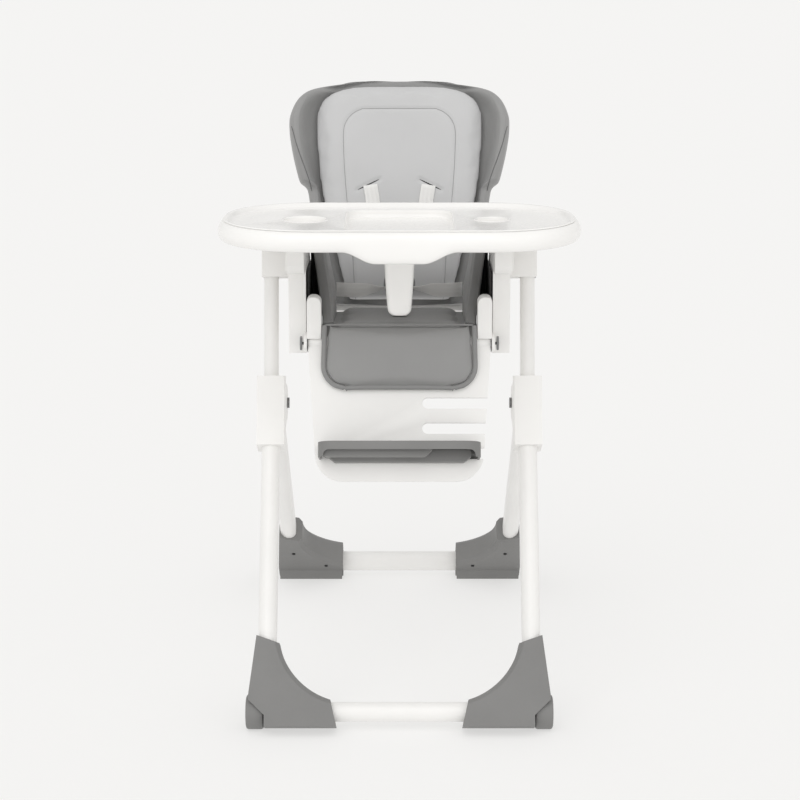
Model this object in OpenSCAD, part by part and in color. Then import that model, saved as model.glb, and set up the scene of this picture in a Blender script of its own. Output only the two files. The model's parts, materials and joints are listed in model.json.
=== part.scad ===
// Folding baby high chair: two slanted front legs and two rear legs that
// fold about the same pair of hubs, a seat that slides up and down on two
// inclined rails, a reclining padded back, a hinged leg rest with a footrest
// that fits one of three slots, and a removable tray with a lift-out liner.
// +X is the right as seen from the front, -Y is the front, +Z is up.

/* [Frame] */
// Half distance between the middles of the two legs
leg_x = 216; // [190:1:250]
// Forward lean of the front legs, from upright
front_lean = 28; // [24:0.5:31]
// Length of a rear leg, from its pivot to the rear crossbar
rear_leg_len = 678; // [640:1:720]
// Distance of the rear leg's pivot behind the front leg
pivot_back = 63; // [60:1:70]
// Height of the hubs' pivots above the floor
hub_z = 477; // [465:1:545]
// Backward lean of the rails, from upright
rail_lean = 13; // [10:0.5:15]
// Length of a rail above the bend in the hub
rail_len = 314; // [314:1:380]
// Width of a leg tube, from side to side
leg_w = 30; // [26:1:34]
// Depth of a leg tube, from front to back
leg_d = 43; // [40:1:46]
// Width of a rail tube
rail_w = 24; // [20:1:26]
// Depth of a rail tube
rail_d = 38; // [34:1:40]
// Wall of every tube
tube_wall = 1.5; // [1:0.1:3]
// Diameter of the front crossbar
front_bar_d = 32; // [28:1:34]
// Width and height of the rear crossbar
rear_bar = [30, 39]; // [26:1:46]
// Angle that the rear frame swings forward when it folds
fold_angle = 64; // [50:1:66]

/* [Wheels and feet] */
// Radius of a front wheel
wheel_r = 28; // [24:1:30]
// Width of a front wheel
wheel_w = 29; // [24:1:30]
// Diameter of a wheel axle
axle_d = 8; // [6:0.5:10]
// Height of the front feet above the floor
foot_gap = 6; // [4:1:9]
// How far a front foot reaches inwards from the middle of its leg
front_foot_reach = 114; // [100:1:118]
// How far a rear foot reaches inwards from the middle of its leg
rear_foot_reach = 103; // [90:1:115]

/* [Hubs] */
// Width of a hub, from side to side
hub_w = 46; // [44:1:48]
// Diameter of a rear leg's pivot pin
pin_d = 10; // [8:0.5:12]
// Radius of a round fold button
fold_button_r = 11; // [9:0.5:12]

/* [Seat] */
// Distance from the outer face of a hard side to the middle of its rail
side_gap = 35; // [34:0.5:38]
// Thickness of a hard side
side_t = 28.5; // [26:0.5:28.5]
// Height of the top of the seat cushion at its back edge
seat_z = 630; // [620:1:640]
// Backward tilt of the seat
seat_tilt = 3.6; // [0:0.1:5]
// Room for a side bolster between the seat cushion and a hard side
bolster_room = 47.5; // [47.5:0.5:56]
// Thickness of the seat cushion
cushion_t = 27; // [20:1:29]
// Height of the underside of the armrests
armrest_z = 728; // [720:1:735]
// Height of an armrest's body
armrest_h = 59; // [50:1:59]
// Distance of the bottom of a slider above the bend, along the rail
slider_from = 226; // [220:1:230]
// Length of a slider along the rail
slider_len = 80; // [70:1:80]

/* [Backrest] */
// Backward lean of the backrest, from upright
back_lean = 20; // [14:1:24]
// Height of the back pad's top edge along the back, from its hinge
pad_top = 416; // [380:1:430]
// Thickness of the back pad
pad_t = 28; // [20:1:30]
// How far the cover's wings reach out beyond the hard sides' inner faces
wing_out = 41.5; // [24:0.5:45]

/* [Leg rest] */
// Forward lean of the leg rest, from upright
leg_rest_lean = 20; // [10:1:24]
// Length of the leg rest below its hinge
panel_len = 227; // [210:1:240]
// How much narrower each side of the leg rest gets towards its bottom
panel_taper = 12.5; // [8:0.5:20]
// Height of each slot for the footrest
slot_h = 18; // [14:1:20]
// Distance between one slot and the next
slot_pitch = 41; // [36:1:44]
// Distance of the slots' inner ends from the middle
slot_x = 37; // [30:1:60]
// How far the footrest stands out of the leg rest
footrest_out = 70; // [55:1:80]

/* [Tray] */
// Width of the tray
tray_w = 576; // [480:1:600]
// Depth of the tray
tray_d = 344; // [300:1:352]
// Radius of the tray's rounded ends
tray_r = 150; // [120:1:150]
// Height of the tray's rim
rim_h = 32; // [28:1:40]
// Wall of the tray
tray_wall = 4; // [3:0.5:5]
// How far the apron hangs below the rim
apron_drop = 18; // [10:1:22]
// Width of the crotch post at its top
post_w = 52; // [40:1:60]

/* [Hidden] */
$fn = 96;
eps = 0.01;

// Colours
WHITE = "#f2f1ee";
GREY = "#84837f";
DARK_FABRIC = "#7d7c7b";
LIGHT_FABRIC = "#c6c5c5";
STEEL = "#b9babc";
WEBBING = "#dcdcdc";

// Fits
run_fit = 0.05;       // between a pin and the part that turns on it
slide_fit = 0.4;      // between parts that slide past each other
soft_gap = 0.3;       // between a soft part and its neighbours
travel_gap = 0.3;     // left when a button is fully pressed

// Places in the side view
bend_y = -163;
pivot_y = bend_y + pivot_back;
front_bar_z = 31;
front_leg_len = (hub_z - front_bar_z) / cos(front_lean);
front_bar_y = bend_y - front_leg_len * sin(front_lean);
rear_bar_gap = 11;    // under the rear crossbar
rear_heel = 9.8;       // behind the rear crossbar
rear_bar_y = pivot_y + rear_leg_len * sin(rear_lean());
rear_bar_z = rear_bar[1] / 2 + rear_bar_gap;
rear_end_y = rear_bar_y + rear_bar[0] / 2 + rear_heel;
wheel_out_x = leg_x + 33.5;
axle_back = 8;         // a front wheel's axle behind the front crossbar
axle_y = front_bar_y + axle_back;
foot_out_x = 29;      // a front foot's outer edge beyond the leg's middle
rear_foot_out_x = 25; // a rear foot's outer edge beyond the leg's middle
foot_depth = 50;
foot_bevel = 7;        // along the curved inner side of a foot
wheel_room = 1.5;      // beside a wheel

// The rear legs lean so that their crossbar lies just above the floor
function rear_lean() =
    acos((hub_z - rear_bar[1] / 2 - rear_bar_gap) / rear_leg_len);

// Hub
hub_cheek = (hub_w - leg_w - 1) / 2;
hub_top = 60;         // above the bend, along the rail
hub_bottom = 64;      // below the bend, along the leg
hub_wall = 4.5;
socket_gap = 4;       // each tube stops this far from the bend
button_travel = 2.4;
button_depth = 5;

// The seat, backrest, leg rest and tray are drawn for sliders whose middle
// is at slider_home, and move with the sliders from there
slider_home = [-163 + 266 * sin(13), 477 + 266 * cos(13)];
slider_middle = slider_from + slider_len / 2;
carriage_move = [
    bend_y + slider_middle * sin(rail_lean) - slider_home[0],
    hub_z + slider_middle * cos(rail_lean) - slider_home[1],
];

// Seat
leg_hinge = [-250, 612];
back_hinge = [-10, 612];
side_out = leg_x - side_gap;
side_in = side_out - side_t;
cushion_x = side_in - bolster_room;
cheek_in = side_in - 22.5;
column_y = -233;
seat_back_y = -14;
seat_front = -222;
cushion_front = -237;
cushion_lip = 19;     // of the cushion's top over the leg rest's hinge
tray_z = armrest_z + armrest_h + 4;
tray_hollow = 9;      // under the tray's floor, inside its rim
tray_floor = 3;
tray_mid_y = -278;
tray_front_y = tray_mid_y - tray_d / 2;
lever_y = tray_front_y + tray_wall + 15;
lever_guide_x = 24;
slider_wall = 3;
slider_front = rail_d / 2 + 5;
slider_back = rail_d / 2 + 11;
armrest_front = -285;
armrest_back = -66;
bore_play = 0.05;

// Backrest, in its own frame: z up along the back, -y towards the child
cover_x = side_in - 2.5;
wing_x = side_in + wing_out;
pad_front = -8;
pad_back = pad_front + pad_t;
cover_top = pad_top + 11;
cover_back = pad_back + soft_gap + 9;
shell_front = cover_back + soft_gap;
shell_back = shell_front + 14;
wing_from = 226;
wing_depth = 18;
hinge_lug_r = 13;

// Leg rest, in its own frame: -z down along the panel, -y to the front
panel_top_x = side_in - 3;
panel_low_x = panel_top_x - panel_taper;
footrest_x = panel_top_x - 19.5;
panel_front = -9;
panel_t = 10;
panel_corner = 45;
slot_first = 99.8;
hinge_r = 5;
ear_in = side_in - 2.2;
ear_out = ear_in + 5.2;
stub_out = ear_out + 0.6;
flap_t = 18;
flap_x = panel_top_x - 20.5;
flap_len = 80;
flap_corner = 34;
flap_top = 8;         // below the hinge

// The model is centred front to back over the floor
shift_y = -(tray_front_y + carriage_move[0] + rear_end_y) / 2;

// ---------------------------------------------------------------- helpers

// Oval tube profile: wide along X, deep along Y, with semicircular ends
module oval(w, d) {
    square([w, d - w], center = true);
    for (end = [-1, 1]) translate([0, end * (d - w) / 2]) circle(d = w);
}

module oval_tube(w, d, length) {
    linear_extrude(length) difference() {
        oval(w, d);
        oval(w - 2 * tube_wall, d - 2 * tube_wall);
    }
}

module rounded_rect(w, h, r) {
    square([w - 2 * r, h], center = true);
    square([w, h - 2 * r], center = true);
    for (x = [-1, 1], y = [-1, 1])
        translate([x * (w / 2 - r), y * (h / 2 - r)]) circle(r);
}

// A cylinder along X between two places
module x_rod(from, to, r) {
    translate([from, 0, 0]) rotate([0, 90, 0]) cylinder(r = r, h = to - from);
}

// A side-view outline in (Y, Z), given a thickness between two X places
module side_plate(from, to) {
    translate([from, 0, 0]) rotate([90, 0, 90]) linear_extrude(to - from)
        children();
}

// A front-view outline in (X, Z), given a depth between two Y places
module front_plate(from, to) {
    translate([0, to, 0]) rotate([90, 0, 0]) linear_extrude(to - from)
        children();
}

// Frames along the tubes, the back and the leg rest
module on_front_leg() {
    translate([0, bend_y, hub_z]) rotate([-front_lean, 0, 0]) children();
}

module on_rail() {
    translate([0, bend_y, hub_z]) rotate([-rail_lean, 0, 0]) children();
}

module on_rear_leg() {
    translate([0, pivot_y, hub_z]) rotate([rear_lean(), 0, 0]) children();
}

module on_back() {
    translate([0, back_hinge[0], back_hinge[1]]) rotate([-back_lean, 0, 0])
        children();
}

module on_leg_rest() {
    translate([0, leg_hinge[0], leg_hinge[1]]) rotate([-leg_rest_lean, 0, 0])
        children();
}

module on_seat() {
    translate([0, seat_back_y, seat_z]) rotate([-seat_tilt, 0, 0]) children();
}

// ------------------------------------------------------------ front frame

module front_leg() {
    color(WHITE) on_front_leg()
        translate([leg_x, 0, 50 - front_leg_len])
            oval_tube(leg_w, leg_d, front_leg_len - 50 - socket_gap);
}

module rail() {
    color(WHITE) on_rail()
        translate([leg_x, 0, socket_gap])
            oval_tube(rail_w, rail_d, rail_len - socket_gap);
}

module rail_cap() {
    color(WHITE) on_rail() translate([leg_x, 0, rail_len]) {
        linear_extrude(3) oval(rail_w, rail_d);
        translate([0, 0, -12]) linear_extrude(12)
            oval(rail_w - 2 * tube_wall, rail_d - 2 * tube_wall);
    }
}

module front_crossbar() {
    half = leg_x - 8;
    color(WHITE) translate([0, front_bar_y, front_bar_z]) difference() {
        x_rod(-half, half, front_bar_d / 2);
        x_rod(-half - 1, half + 1, front_bar_d / 2 - tube_wall);
    }
}

// Corner moulding that joins a leg to a crossbar, in the leg's own frame
// with the crossbar's axis at the origin: its inner side is one big curve
// with a bevel, and its inner end slopes by end_slope
module foot_body(out_x, reach, top_out, top_in, low, curve, curve_r, end_slope) {
    difference() {
        front_plate(-foot_depth / 2, foot_depth / 2) difference() {
            polygon([
                [out_x, -low], [out_x, 24], [leg_w / 2 + 2, top_out],
                [curve[0] + curve_r, top_in],
                [end_slope - reach, top_in], [-reach, -low],
            ]);
            translate(curve) circle(curve_r);
        }
        for (turn = [0, 180])
            translate([curve[0], 0, curve[1]]) rotate([-90, 0, turn])
                translate([0, 0, -foot_depth / 2 - eps])
                    cylinder(h = foot_bevel, r1 = curve_r + foot_bevel, r2 = curve_r);
    }
}

module front_foot() {
    arch_in = wheel_out_x - wheel_w - wheel_room;
    wheel_top = 2 * wheel_r + 2;
    color(GREY) difference() {
        on_front_leg() translate([leg_x, 0, -front_leg_len])
            foot_body(foot_out_x, front_foot_reach, 122, 110, 26,
                      [-138, 133], 120, 31);
        // leg socket
        on_front_leg() translate([leg_x, 0, 50 - front_leg_len])
            linear_extrude(200) oval(leg_w, leg_d);
        // crossbar socket
        translate([0, front_bar_y, front_bar_z])
            x_rod(0, leg_x - 8, front_bar_d / 2);
        // wheel arch, open below and in front, where its edge slants
        translate([0, axle_y, wheel_r]) {
            x_rod(arch_in, leg_x + 60, wheel_r + 3);
            x_rod(leg_x - 8 - eps, leg_x + 60, axle_d / 2);
        }
        front_plate(axle_y - 60, axle_y) polygon([
            [arch_in, -20], [arch_in, wheel_r + 8], [leg_x + foot_out_x, wheel_top],
            [leg_x + 60, wheel_top], [leg_x + 60, -20],
        ]);
        // underside, clear of the floor
        translate([0, front_bar_y - 100, -100])
            cube([leg_x + 60, 200, 100 + foot_gap]);
    }
}

module axle() {
    color(STEEL) translate([0, axle_y, wheel_r]) {
        x_rod(leg_x - 8 + 0.5, wheel_out_x - 3.2, axle_d / 2);
        x_rod(wheel_out_x - 3.2, wheel_out_x - 0.4, axle_d / 2 + 3);
    }
}

module wheel() {
    color(GREY) translate([0, axle_y, wheel_r]) difference() {
        x_rod(wheel_out_x - wheel_w, wheel_out_x, wheel_r);
        x_rod(wheel_out_x - wheel_w - 1, wheel_out_x + 1, axle_d / 2 + run_fit);
        x_rod(wheel_out_x - 3.6, wheel_out_x + 1, axle_d / 2 + 4.5);
    }
}

// Side-view outline of the hub: wraps the bend and an ear for the pivot
module hub_outline() {
    ear_r = leg_d / 2 + 8;
    translate([bend_y, hub_z]) {
        rotate(-front_lean) translate([-leg_d / 2 - hub_wall, -hub_bottom])
            square([leg_d + 2 * hub_wall, hub_bottom]);
        rotate(-rail_lean) translate([-leg_d / 2 - hub_wall, -8])
            square([leg_d + 2 * hub_wall, hub_top + 8]);
        circle(leg_d / 2 + hub_wall);
    }
    translate([pivot_y, hub_z]) circle(ear_r);
    polygon([
        [bend_y, hub_z - 36], [pivot_y - 10, hub_z - ear_r + 1.7],
        [pivot_y + 6, hub_z + ear_r - 0.7], [bend_y + 20, hub_z + 48],
    ]);
}

// Everything that the rear leg's end sweeps between open and folded
module hub_slot() {
    r = leg_d / 2 + 1.5;
    reach = 130;
    open = rear_lean();
    shut = rear_lean() - fold_angle - 1;
    translate([pivot_y, hub_z]) {
        circle(r);
        polygon([
            [r * cos(open), r * sin(open)],
            [r * cos(open) + reach * sin(open), r * sin(open) - reach * cos(open)],
            [reach * sin(shut) - r * cos(shut), -reach * cos(shut) - r * sin(shut)],
            [-r * cos(shut), -r * sin(shut)],
        ]);
    }
}

module hub() {
    color(WHITE) difference() {
        side_plate(leg_x - hub_w / 2, leg_x + hub_w / 2) hub_outline();
        side_plate(leg_x - leg_w / 2 - 0.5, leg_x + leg_w / 2 + 0.5) hub_slot();
        on_front_leg() translate([leg_x, 0, -socket_gap - 120])
            linear_extrude(120) oval(leg_w, leg_d);
        on_rail() translate([leg_x, 0, socket_gap])
            linear_extrude(120) oval(rail_w, rail_d);
        translate([0, pivot_y, hub_z])
            x_rod(leg_x - hub_w / 2 - 1, leg_x + hub_w / 2 + 1, pin_d / 2);
        at_fold_button()
            x_rod(leg_x + hub_w / 2 - button_depth, leg_x + hub_w, fold_button_r + slide_fit);
    }
}

module at_fold_button() {
    translate([0, bend_y + 4, hub_z + 18]) children();
}

module fold_button() {
    face = leg_x + hub_w / 2;
    color(GREY) at_fold_button()
        x_rod(face - button_depth + button_travel + travel_gap, face + 1, fold_button_r);
}

module pivot_pin() {
    inner = leg_x - hub_w / 2;
    color(STEEL) translate([0, pivot_y, hub_z]) {
        x_rod(inner, leg_x + hub_w / 2, pin_d / 2);
        x_rod(inner - 4, inner, pin_d / 2 + 4);
    }
}

// ------------------------------------------------------------- rear frame

module rear_leg() {
    color(WHITE) on_rear_leg()
        translate([leg_x, 0, 30 - rear_leg_len])
            oval_tube(leg_w, leg_d, rear_leg_len - 60);
}

// Solid end of a rear leg, which turns on the pivot pin
module knuckle() {
    color(GREY) on_rear_leg() difference() {
        union() {
            x_rod(leg_x - leg_w / 2, leg_x + leg_w / 2, leg_d / 2);
            translate([leg_x, 0, -30]) linear_extrude(30) oval(leg_w, leg_d);
            translate([leg_x, 0, -60]) linear_extrude(31)
                oval(leg_w - 2 * tube_wall, leg_d - 2 * tube_wall);
        }
        x_rod(leg_x - leg_w, leg_x + leg_w, pin_d / 2 + run_fit);
    }
}

module rear_bar_profile() {
    translate([rear_bar_y, rear_bar_z]) oval(rear_bar[0], rear_bar[1]);
}

module rear_crossbar() {
    half = leg_x + 6;
    color(WHITE) side_plate(-half, half) difference() {
        rear_bar_profile();
        translate([rear_bar_y, rear_bar_z])
            oval(rear_bar[0] - 2 * tube_wall, rear_bar[1] - 2 * tube_wall);
    }
}

module rear_foot() {
    inner = leg_x - rear_foot_reach + 2;
    outer = leg_x + rear_foot_out_x - 2;
    color(GREY) difference() {
        union() {
            on_rear_leg() translate([leg_x, 0, -rear_leg_len])
                foot_body(rear_foot_out_x, rear_foot_reach, 166, 150, 25,
                          [-142, 150], 115, 0);
            // flat pad under the crossbar, trimmed with the rest below
            translate([inner, rear_bar_y - 24, -10])
                cube([outer - inner, rear_end_y - rear_bar_y + 34, 34]);
        }
        on_rear_leg() translate([leg_x, 0, 30 - rear_leg_len])
            linear_extrude(200) oval(leg_w, leg_d);
        side_plate(0, leg_x + 6) rear_bar_profile();
        translate([0, rear_bar_y - 150, -100]) cube([leg_x + 60, 300, 100]);
        translate([0, rear_end_y, -20]) cube([leg_x + 60, 60, 200]);
    }
}

// ---------------------------------------------------------- seat carriage

module slider() {
    outer = leg_x + rail_w / 2 + slide_fit + slider_wall - 0.4;
    color(WHITE) on_rail() difference() {
        translate([side_out, -slider_front, slider_from])
            cube([outer - side_out, slider_front + slider_back, slider_len]);
        translate([leg_x, 0, slider_from - 1]) linear_extrude(slider_len + 2)
            oval(rail_w + 2 * slide_fit, rail_d + 2 * slide_fit);
        // pocket for the height button
        translate([leg_x - 11, slider_back - 6, slider_from + 22])
            cube([22, 7, 34]);
    }
}

module height_button() {
    color(GREY) on_rail()
        translate([leg_x - 10.5, slider_back - 2.7, slider_from + 22.5])
            cube([21, 6.5, 33]);
}

module seat_side() {
    hub_clear_y = back_hinge[0] + 24;
    color(WHITE) difference() {
        union() {
            side_plate(side_in, side_out) polygon([
                [column_y, leg_hinge[1] - 20], [column_y, armrest_z],
                [armrest_back, armrest_z], [armrest_back + 24, 662],
                [hub_clear_y, 640], [hub_clear_y, 598], [-20, 590],
            ]);
            // ear for the leg rest's hinge
            side_plate(ear_in, ear_out) {
                translate(leg_hinge) circle(15);
                translate([leg_hinge[0], leg_hinge[1] - 15])
                    square([-leg_hinge[0] + column_y + 4, 30]);
            }
            // pad that carries the ear on the column
            side_plate(ear_in, side_in + 1)
                translate([column_y, leg_hinge[1] - 15]) square([8, 30]);
        }
        translate([0, leg_hinge[0], leg_hinge[1]])
            x_rod(ear_in - 1, ear_out + 1, hinge_r + bore_play);
        translate([0, back_hinge[0], back_hinge[1]])
            x_rod(side_in - 1, side_in + 14, hinge_r + bore_play);
    }
}

module armrest() {
    top = armrest_z + armrest_h;
    color(WHITE) {
        side_plate(side_in + 0.5, side_out) {
            translate([armrest_front + 26, armrest_z])
                square([armrest_back - armrest_front - 26, armrest_h]);
            translate([armrest_front, armrest_z + 16])
                square([27, armrest_h - 16]);
            translate([armrest_front + 26, armrest_z + 26]) circle(26);
        }
        // front end, a little wider outwards
        side_plate(side_out - 1, side_out + 4)
            translate([armrest_front + 30, armrest_z + 4])
                square([118, armrest_h - 8]);
    }
}

// Round-topped cheek beside the front of the seat
module front_cheek() {
    w = side_in - cheek_in;
    low = leg_hinge[1] + 17;
    top = 690;
    color(WHITE) front_plate(-262, -229) {
        translate([cheek_in, low]) square([w, top - low - w / 2]);
        translate([cheek_in + w / 2, top - w / 2]) circle(w / 2);
    }
}

module seat_pan() {
    color(WHITE) on_seat() translate([-side_in, seat_front - seat_back_y, -46])
        cube([2 * side_in, -seat_front + seat_back_y - 12, 46 - cushion_t - 2 - soft_gap]);
}

module seat_cushion() {
    length = seat_back_y - cushion_front - 1;
    color(DARK_FABRIC) on_seat() {
        translate([0, -length / 2 - 1, -cushion_t - 2]) linear_extrude(cushion_t)
            rounded_rect(2 * cushion_x, length, 8);
        translate([-cushion_x, -length - cushion_lip, -19])
            cube([2 * cushion_x, cushion_lip + 10, 17]);
    }
}

// Soft side of the seat: stands on the pan's edge and leans outwards
module bolster() {
    color(DARK_FABRIC) translate([cushion_x + 1.5, 0, 642]) rotate([0, 12, 0])
        side_plate(0, 18) polygon([
            [-244, 0], [-110, 98], [-52, 132], [18, 132], [-26, 0],
        ]);
}

module waist_strap() {
    color(WEBBING) translate([29, -63, 656]) cube([cushion_x - 27, 2.5, 25]);
}

module buckle() {
    color(GREY) translate([0, -58, 678]) rotate([90, 0, 0])
        cylinder(r = 27, h = 14);
}

module crotch_strap() {
    color(WEBBING) on_seat() translate([-12.5, -156, 1]) cube([25, 92, 2.5]);
}

// --------------------------------------------------------------- backrest

module back_shell() {
    half = side_in - 14;
    color(WHITE) on_back() {
        difference() {
            front_plate(shell_front, shell_back) {
                translate([-half, 14]) square([2 * half, pad_top - 90]);
                translate([0, pad_top - 80]) rounded_rect(2 * half, 156, 70);
            }
            // pocket for the recline handle
            translate([-50, shell_back - 8, 290]) cube([100, 9, 40]);
        }
        for (s = [-1, 1]) difference() {
            union() {
                side_plate(s > 0 ? half : -half - 11, s > 0 ? half + 11 : -half) {
                    circle(hinge_lug_r);
                    polygon([
                        [-hinge_lug_r, 0], [hinge_lug_r, -4], [shell_back, 10],
                        [shell_back, 80], [shell_front, 80], [shell_front, 20],
                    ]);
                }
                x_rod(s > 0 ? half + 10 : -side_in - 12, s > 0 ? side_in + 12 : -half - 10, hinge_r);
            }
        }
    }
}

module recline_handle() {
    color(GREY) on_back() translate([-46, shell_back - 6, 294])
        cube([92, 12, 22]);
}

// Outline of the dark cover: narrow below, with wings at head height
module cover_outline() {
    polygon([
        [-cover_x, 24], [cover_x, 24], [cover_x, wing_from], [wing_x - 14, wing_from + 4],
        [wing_x, wing_from + 70], [-wing_x, wing_from + 70],
        [-wing_x + 14, wing_from + 4], [-cover_x, wing_from],
    ]);
    translate([0, (wing_from + 60 + cover_top) / 2])
        rounded_rect(2 * wing_x, cover_top - wing_from - 60, 60);
}

module back_cover() {
    color(DARK_FABRIC) on_back() {
        front_plate(pad_back + soft_gap, cover_back) cover_outline();
        // wings that stand forward beside the pad
        for (s = [-1, 1]) front_plate(pad_front - wing_depth, cover_back)
            translate([s * (wing_x - 15), wing_from + 94])
                rounded_rect(24, 150, 11);
    }
}

module back_pad() {
    low_x = cover_x - 26;
    mid_x = cover_x - 11;
    top_x = cover_x + 4;
    color(LIGHT_FABRIC) on_back() front_plate(pad_front, pad_back) {
        polygon([
            [-low_x, 24], [low_x, 24], [mid_x, 232], [top_x, 330],
            [-top_x, 330], [-mid_x, 232],
        ]);
        translate([0, pad_top - 70]) rounded_rect(2 * top_x, 140, 68);
    }
}

module shoulder_strap() {
    color(WEBBING) on_back()
        translate([38.5, pad_front - 4, 96]) cube([25, 2.5, 140]);
}

// --------------------------------------------------------------- leg rest

module panel_outline() {
    corner_x = panel_low_x - panel_corner;
    low = panel_corner - panel_len;
    difference() {
        union() {
            polygon([
                [-panel_top_x, 2], [panel_top_x, 2],
                [panel_low_x, low], [-panel_low_x, low],
            ]);
            translate([-corner_x, -panel_len])
                square([2 * corner_x, panel_corner + eps]);
            for (s = [-1, 1]) translate([s * corner_x, low]) circle(panel_corner);
        }
        for (i = [0:2]) translate([slot_x + slot_h / 2, -slot_first - i * slot_pitch]) {
            circle(slot_h / 2);
            translate([0, -slot_h / 2]) square([panel_top_x, slot_h]);
        }
    }
}

module leg_rest_panel() {
    color(WHITE) on_leg_rest() difference() {
        union() {
            front_plate(panel_front, panel_front + panel_t) panel_outline();
            x_rod(-panel_top_x, panel_top_x, 11);
            x_rod(-stub_out, stub_out, hinge_r);
        }
        for (s = [-1, 1]) translate([s * stub_out - (s > 0 ? 12 : 0), 0, 0])
            x_rod(0, 12, 2.6);
    }
}

module front_flap() {
    color(DARK_FABRIC) on_leg_rest()
        front_plate(panel_front - soft_gap - flap_t, panel_front - soft_gap) {
            translate([-flap_x, -flap_len + flap_corner])
                square([2 * flap_x, flap_len - flap_corner - flap_top]);
            translate([0, -flap_len + flap_corner + 1])
                rounded_rect(2 * flap_x, 2 * flap_corner + 2, flap_corner);
        }
}

module leg_rest_button() {
    button_from = stub_out + button_travel + travel_gap;
    color(GREY) translate([0, leg_hinge[0], leg_hinge[1]]) {
        x_rod(button_from, button_from + 3.4, 11.5);
        x_rod(ear_out - 8, button_from + 1, 2.3);
    }
}

module footrest() {
    z = -slot_first - 2 * slot_pitch;
    front = panel_front - footrest_out;
    tongue_x = slot_x + slot_h / 2 + 1;
    color(GREY) on_leg_rest() {
        translate([-footrest_x, front, z])
            cube([2 * footrest_x, footrest_out - slide_fit, 8]);
        translate([-footrest_x, front, z - 8])
            cube([2 * footrest_x, 7, 16]);
        translate([tongue_x, panel_front - 1, z - 3])
            cube([footrest_x - tongue_x, panel_t + 2, 11]);
        translate([tongue_x, panel_front + panel_t + slide_fit, z - 14])
            cube([footrest_x - tongue_x, 4, 32]);
    }
}

// ------------------------------------------------------------------- tray

module tray_outline(inset) {
    translate([0, tray_mid_y])
        rounded_rect(tray_w - 2 * inset, tray_d - 2 * inset, tray_r - inset);
}

module tray_base() {
    floor_z = tray_z + tray_hollow;
    color(WHITE) {
        difference() {
            translate([0, 0, tray_z]) linear_extrude(rim_h) tray_outline(0);
            translate([0, 0, floor_z + tray_floor]) linear_extrude(rim_h)
                tray_outline(tray_wall);
            translate([0, 0, tray_z - 1]) linear_extrude(floor_z - tray_z + 1)
                tray_outline(tray_wall);
        }
        // apron below the front of the rim, deepest in the middle
        intersection() {
            translate([0, 0, tray_z - apron_drop]) linear_extrude(apron_drop + 1)
                difference() {
                    tray_outline(0);
                    tray_outline(tray_wall);
                }
            front_plate(tray_front_y - 1, tray_front_y + 20) polygon([
                [-82, tray_z + 2], [-82, tray_z], [-62, tray_z - 4],
                [-46, tray_z - apron_drop + 3], [-30, tray_z - apron_drop],
                [30, tray_z - apron_drop], [46, tray_z - apron_drop + 3],
                [62, tray_z - 4], [82, tray_z], [82, tray_z + 2],
            ]);
        }
        // guides for the release lever
        for (x = [-1, 1]) translate([x * lever_guide_x, lever_y, tray_z - 8])
            cylinder(r = 4, h = tray_hollow + 8);
        for (s = [-1, 1]) scale_x(s) {
            // runners that rest on and beside an armrest
            translate([side_in + 3, armrest_front + 4, armrest_z + armrest_h + slide_fit])
                cube([side_t - 6, 150, floor_z - armrest_z - armrest_h]);
            translate([side_in - 5.5, armrest_front + 4, tray_z - 20])
                cube([4, 150, 31]);
            translate([side_out + 6, armrest_front + 4, tray_z - 20])
                cube([4, 150, 31]);
        }
    }
}

module scale_x(s) {
    mirror([s < 0 ? 1 : 0, 0, 0]) children();
}

module crotch_post() {
    low_x = (post_w - 13) / 2;
    low = seat_z + 29;
    corner = 12;
    function round_corner(s, from, to) = [
        for (a = [from : (to - from) / 12 : to])
            [s * (low_x - corner) + corner * cos(a), low + corner + corner * sin(a)]
    ];
    color(WHITE) front_plate(-262, -238) polygon(concat(
        [[-post_w / 2, tray_z + tray_hollow], [post_w / 2, tray_z + tray_hollow]],
        round_corner(1, 0, -90),
        round_corner(-1, -90, -180)
    ));
}

module tray_lever() {
    color(GREY) difference() {
        translate([-34, lever_y - 12, tray_z - 12]) cube([68, 24, 12]);
        for (x = [-1, 1]) translate([x * lever_guide_x, lever_y, tray_z - 13])
            cylinder(r = 4 + bore_play, h = 14);
    }
}

// Pocket of the liner: a wall and a floor below the liner's plateau
module pocket(low, high, wall) {
    translate([0, 0, low]) linear_extrude(high - low) difference() {
        children(0);
        children(1);
    }
    translate([0, 0, low]) linear_extrude(wall) children(0);
}

module liner_middle(grow) {
    translate([0, tray_mid_y + 4]) rounded_rect(172 + 2 * grow, 236 + 2 * grow, 30 + grow);
}

module liner_cup(grow) {
    translate([-151, tray_mid_y + 11]) circle(33 + grow);
}

module liner_dish(grow) {
    translate([148, tray_mid_y + 11]) circle(25 + grow);
}

module tray_liner() {
    floor_z = tray_z + tray_hollow + tray_floor + slide_fit;
    plateau = tray_z + 24;
    wall = 2.5;
    rim = tray_z + rim_h;
    color(WHITE) {
        // plateau with its three openings
        translate([0, 0, plateau]) linear_extrude(wall) difference() {
            tray_outline(tray_wall + slide_fit);
            liner_middle(0);
            liner_cup(0);
            liner_dish(0);
        }
        // upright edge and the lip over the rim
        translate([0, 0, plateau]) linear_extrude(rim + slide_fit - plateau + wall) difference() {
            tray_outline(tray_wall + slide_fit);
            tray_outline(tray_wall + slide_fit + wall);
        }
        translate([0, 0, rim + slide_fit]) linear_extrude(wall) difference() {
            tray_outline(1);
            tray_outline(tray_wall + slide_fit + wall);
        }
        pocket(floor_z, plateau + wall, wall) {
            liner_middle(wall);
            liner_middle(0);
        }
        pocket(floor_z, plateau + wall, wall) {
            liner_cup(wall);
            liner_cup(0);
        }
        pocket(floor_z, plateau + wall, wall) {
            liner_dish(wall);
            liner_dish(0);
        }
    }
}

// --------------------------------------------------------------- assembly

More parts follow.
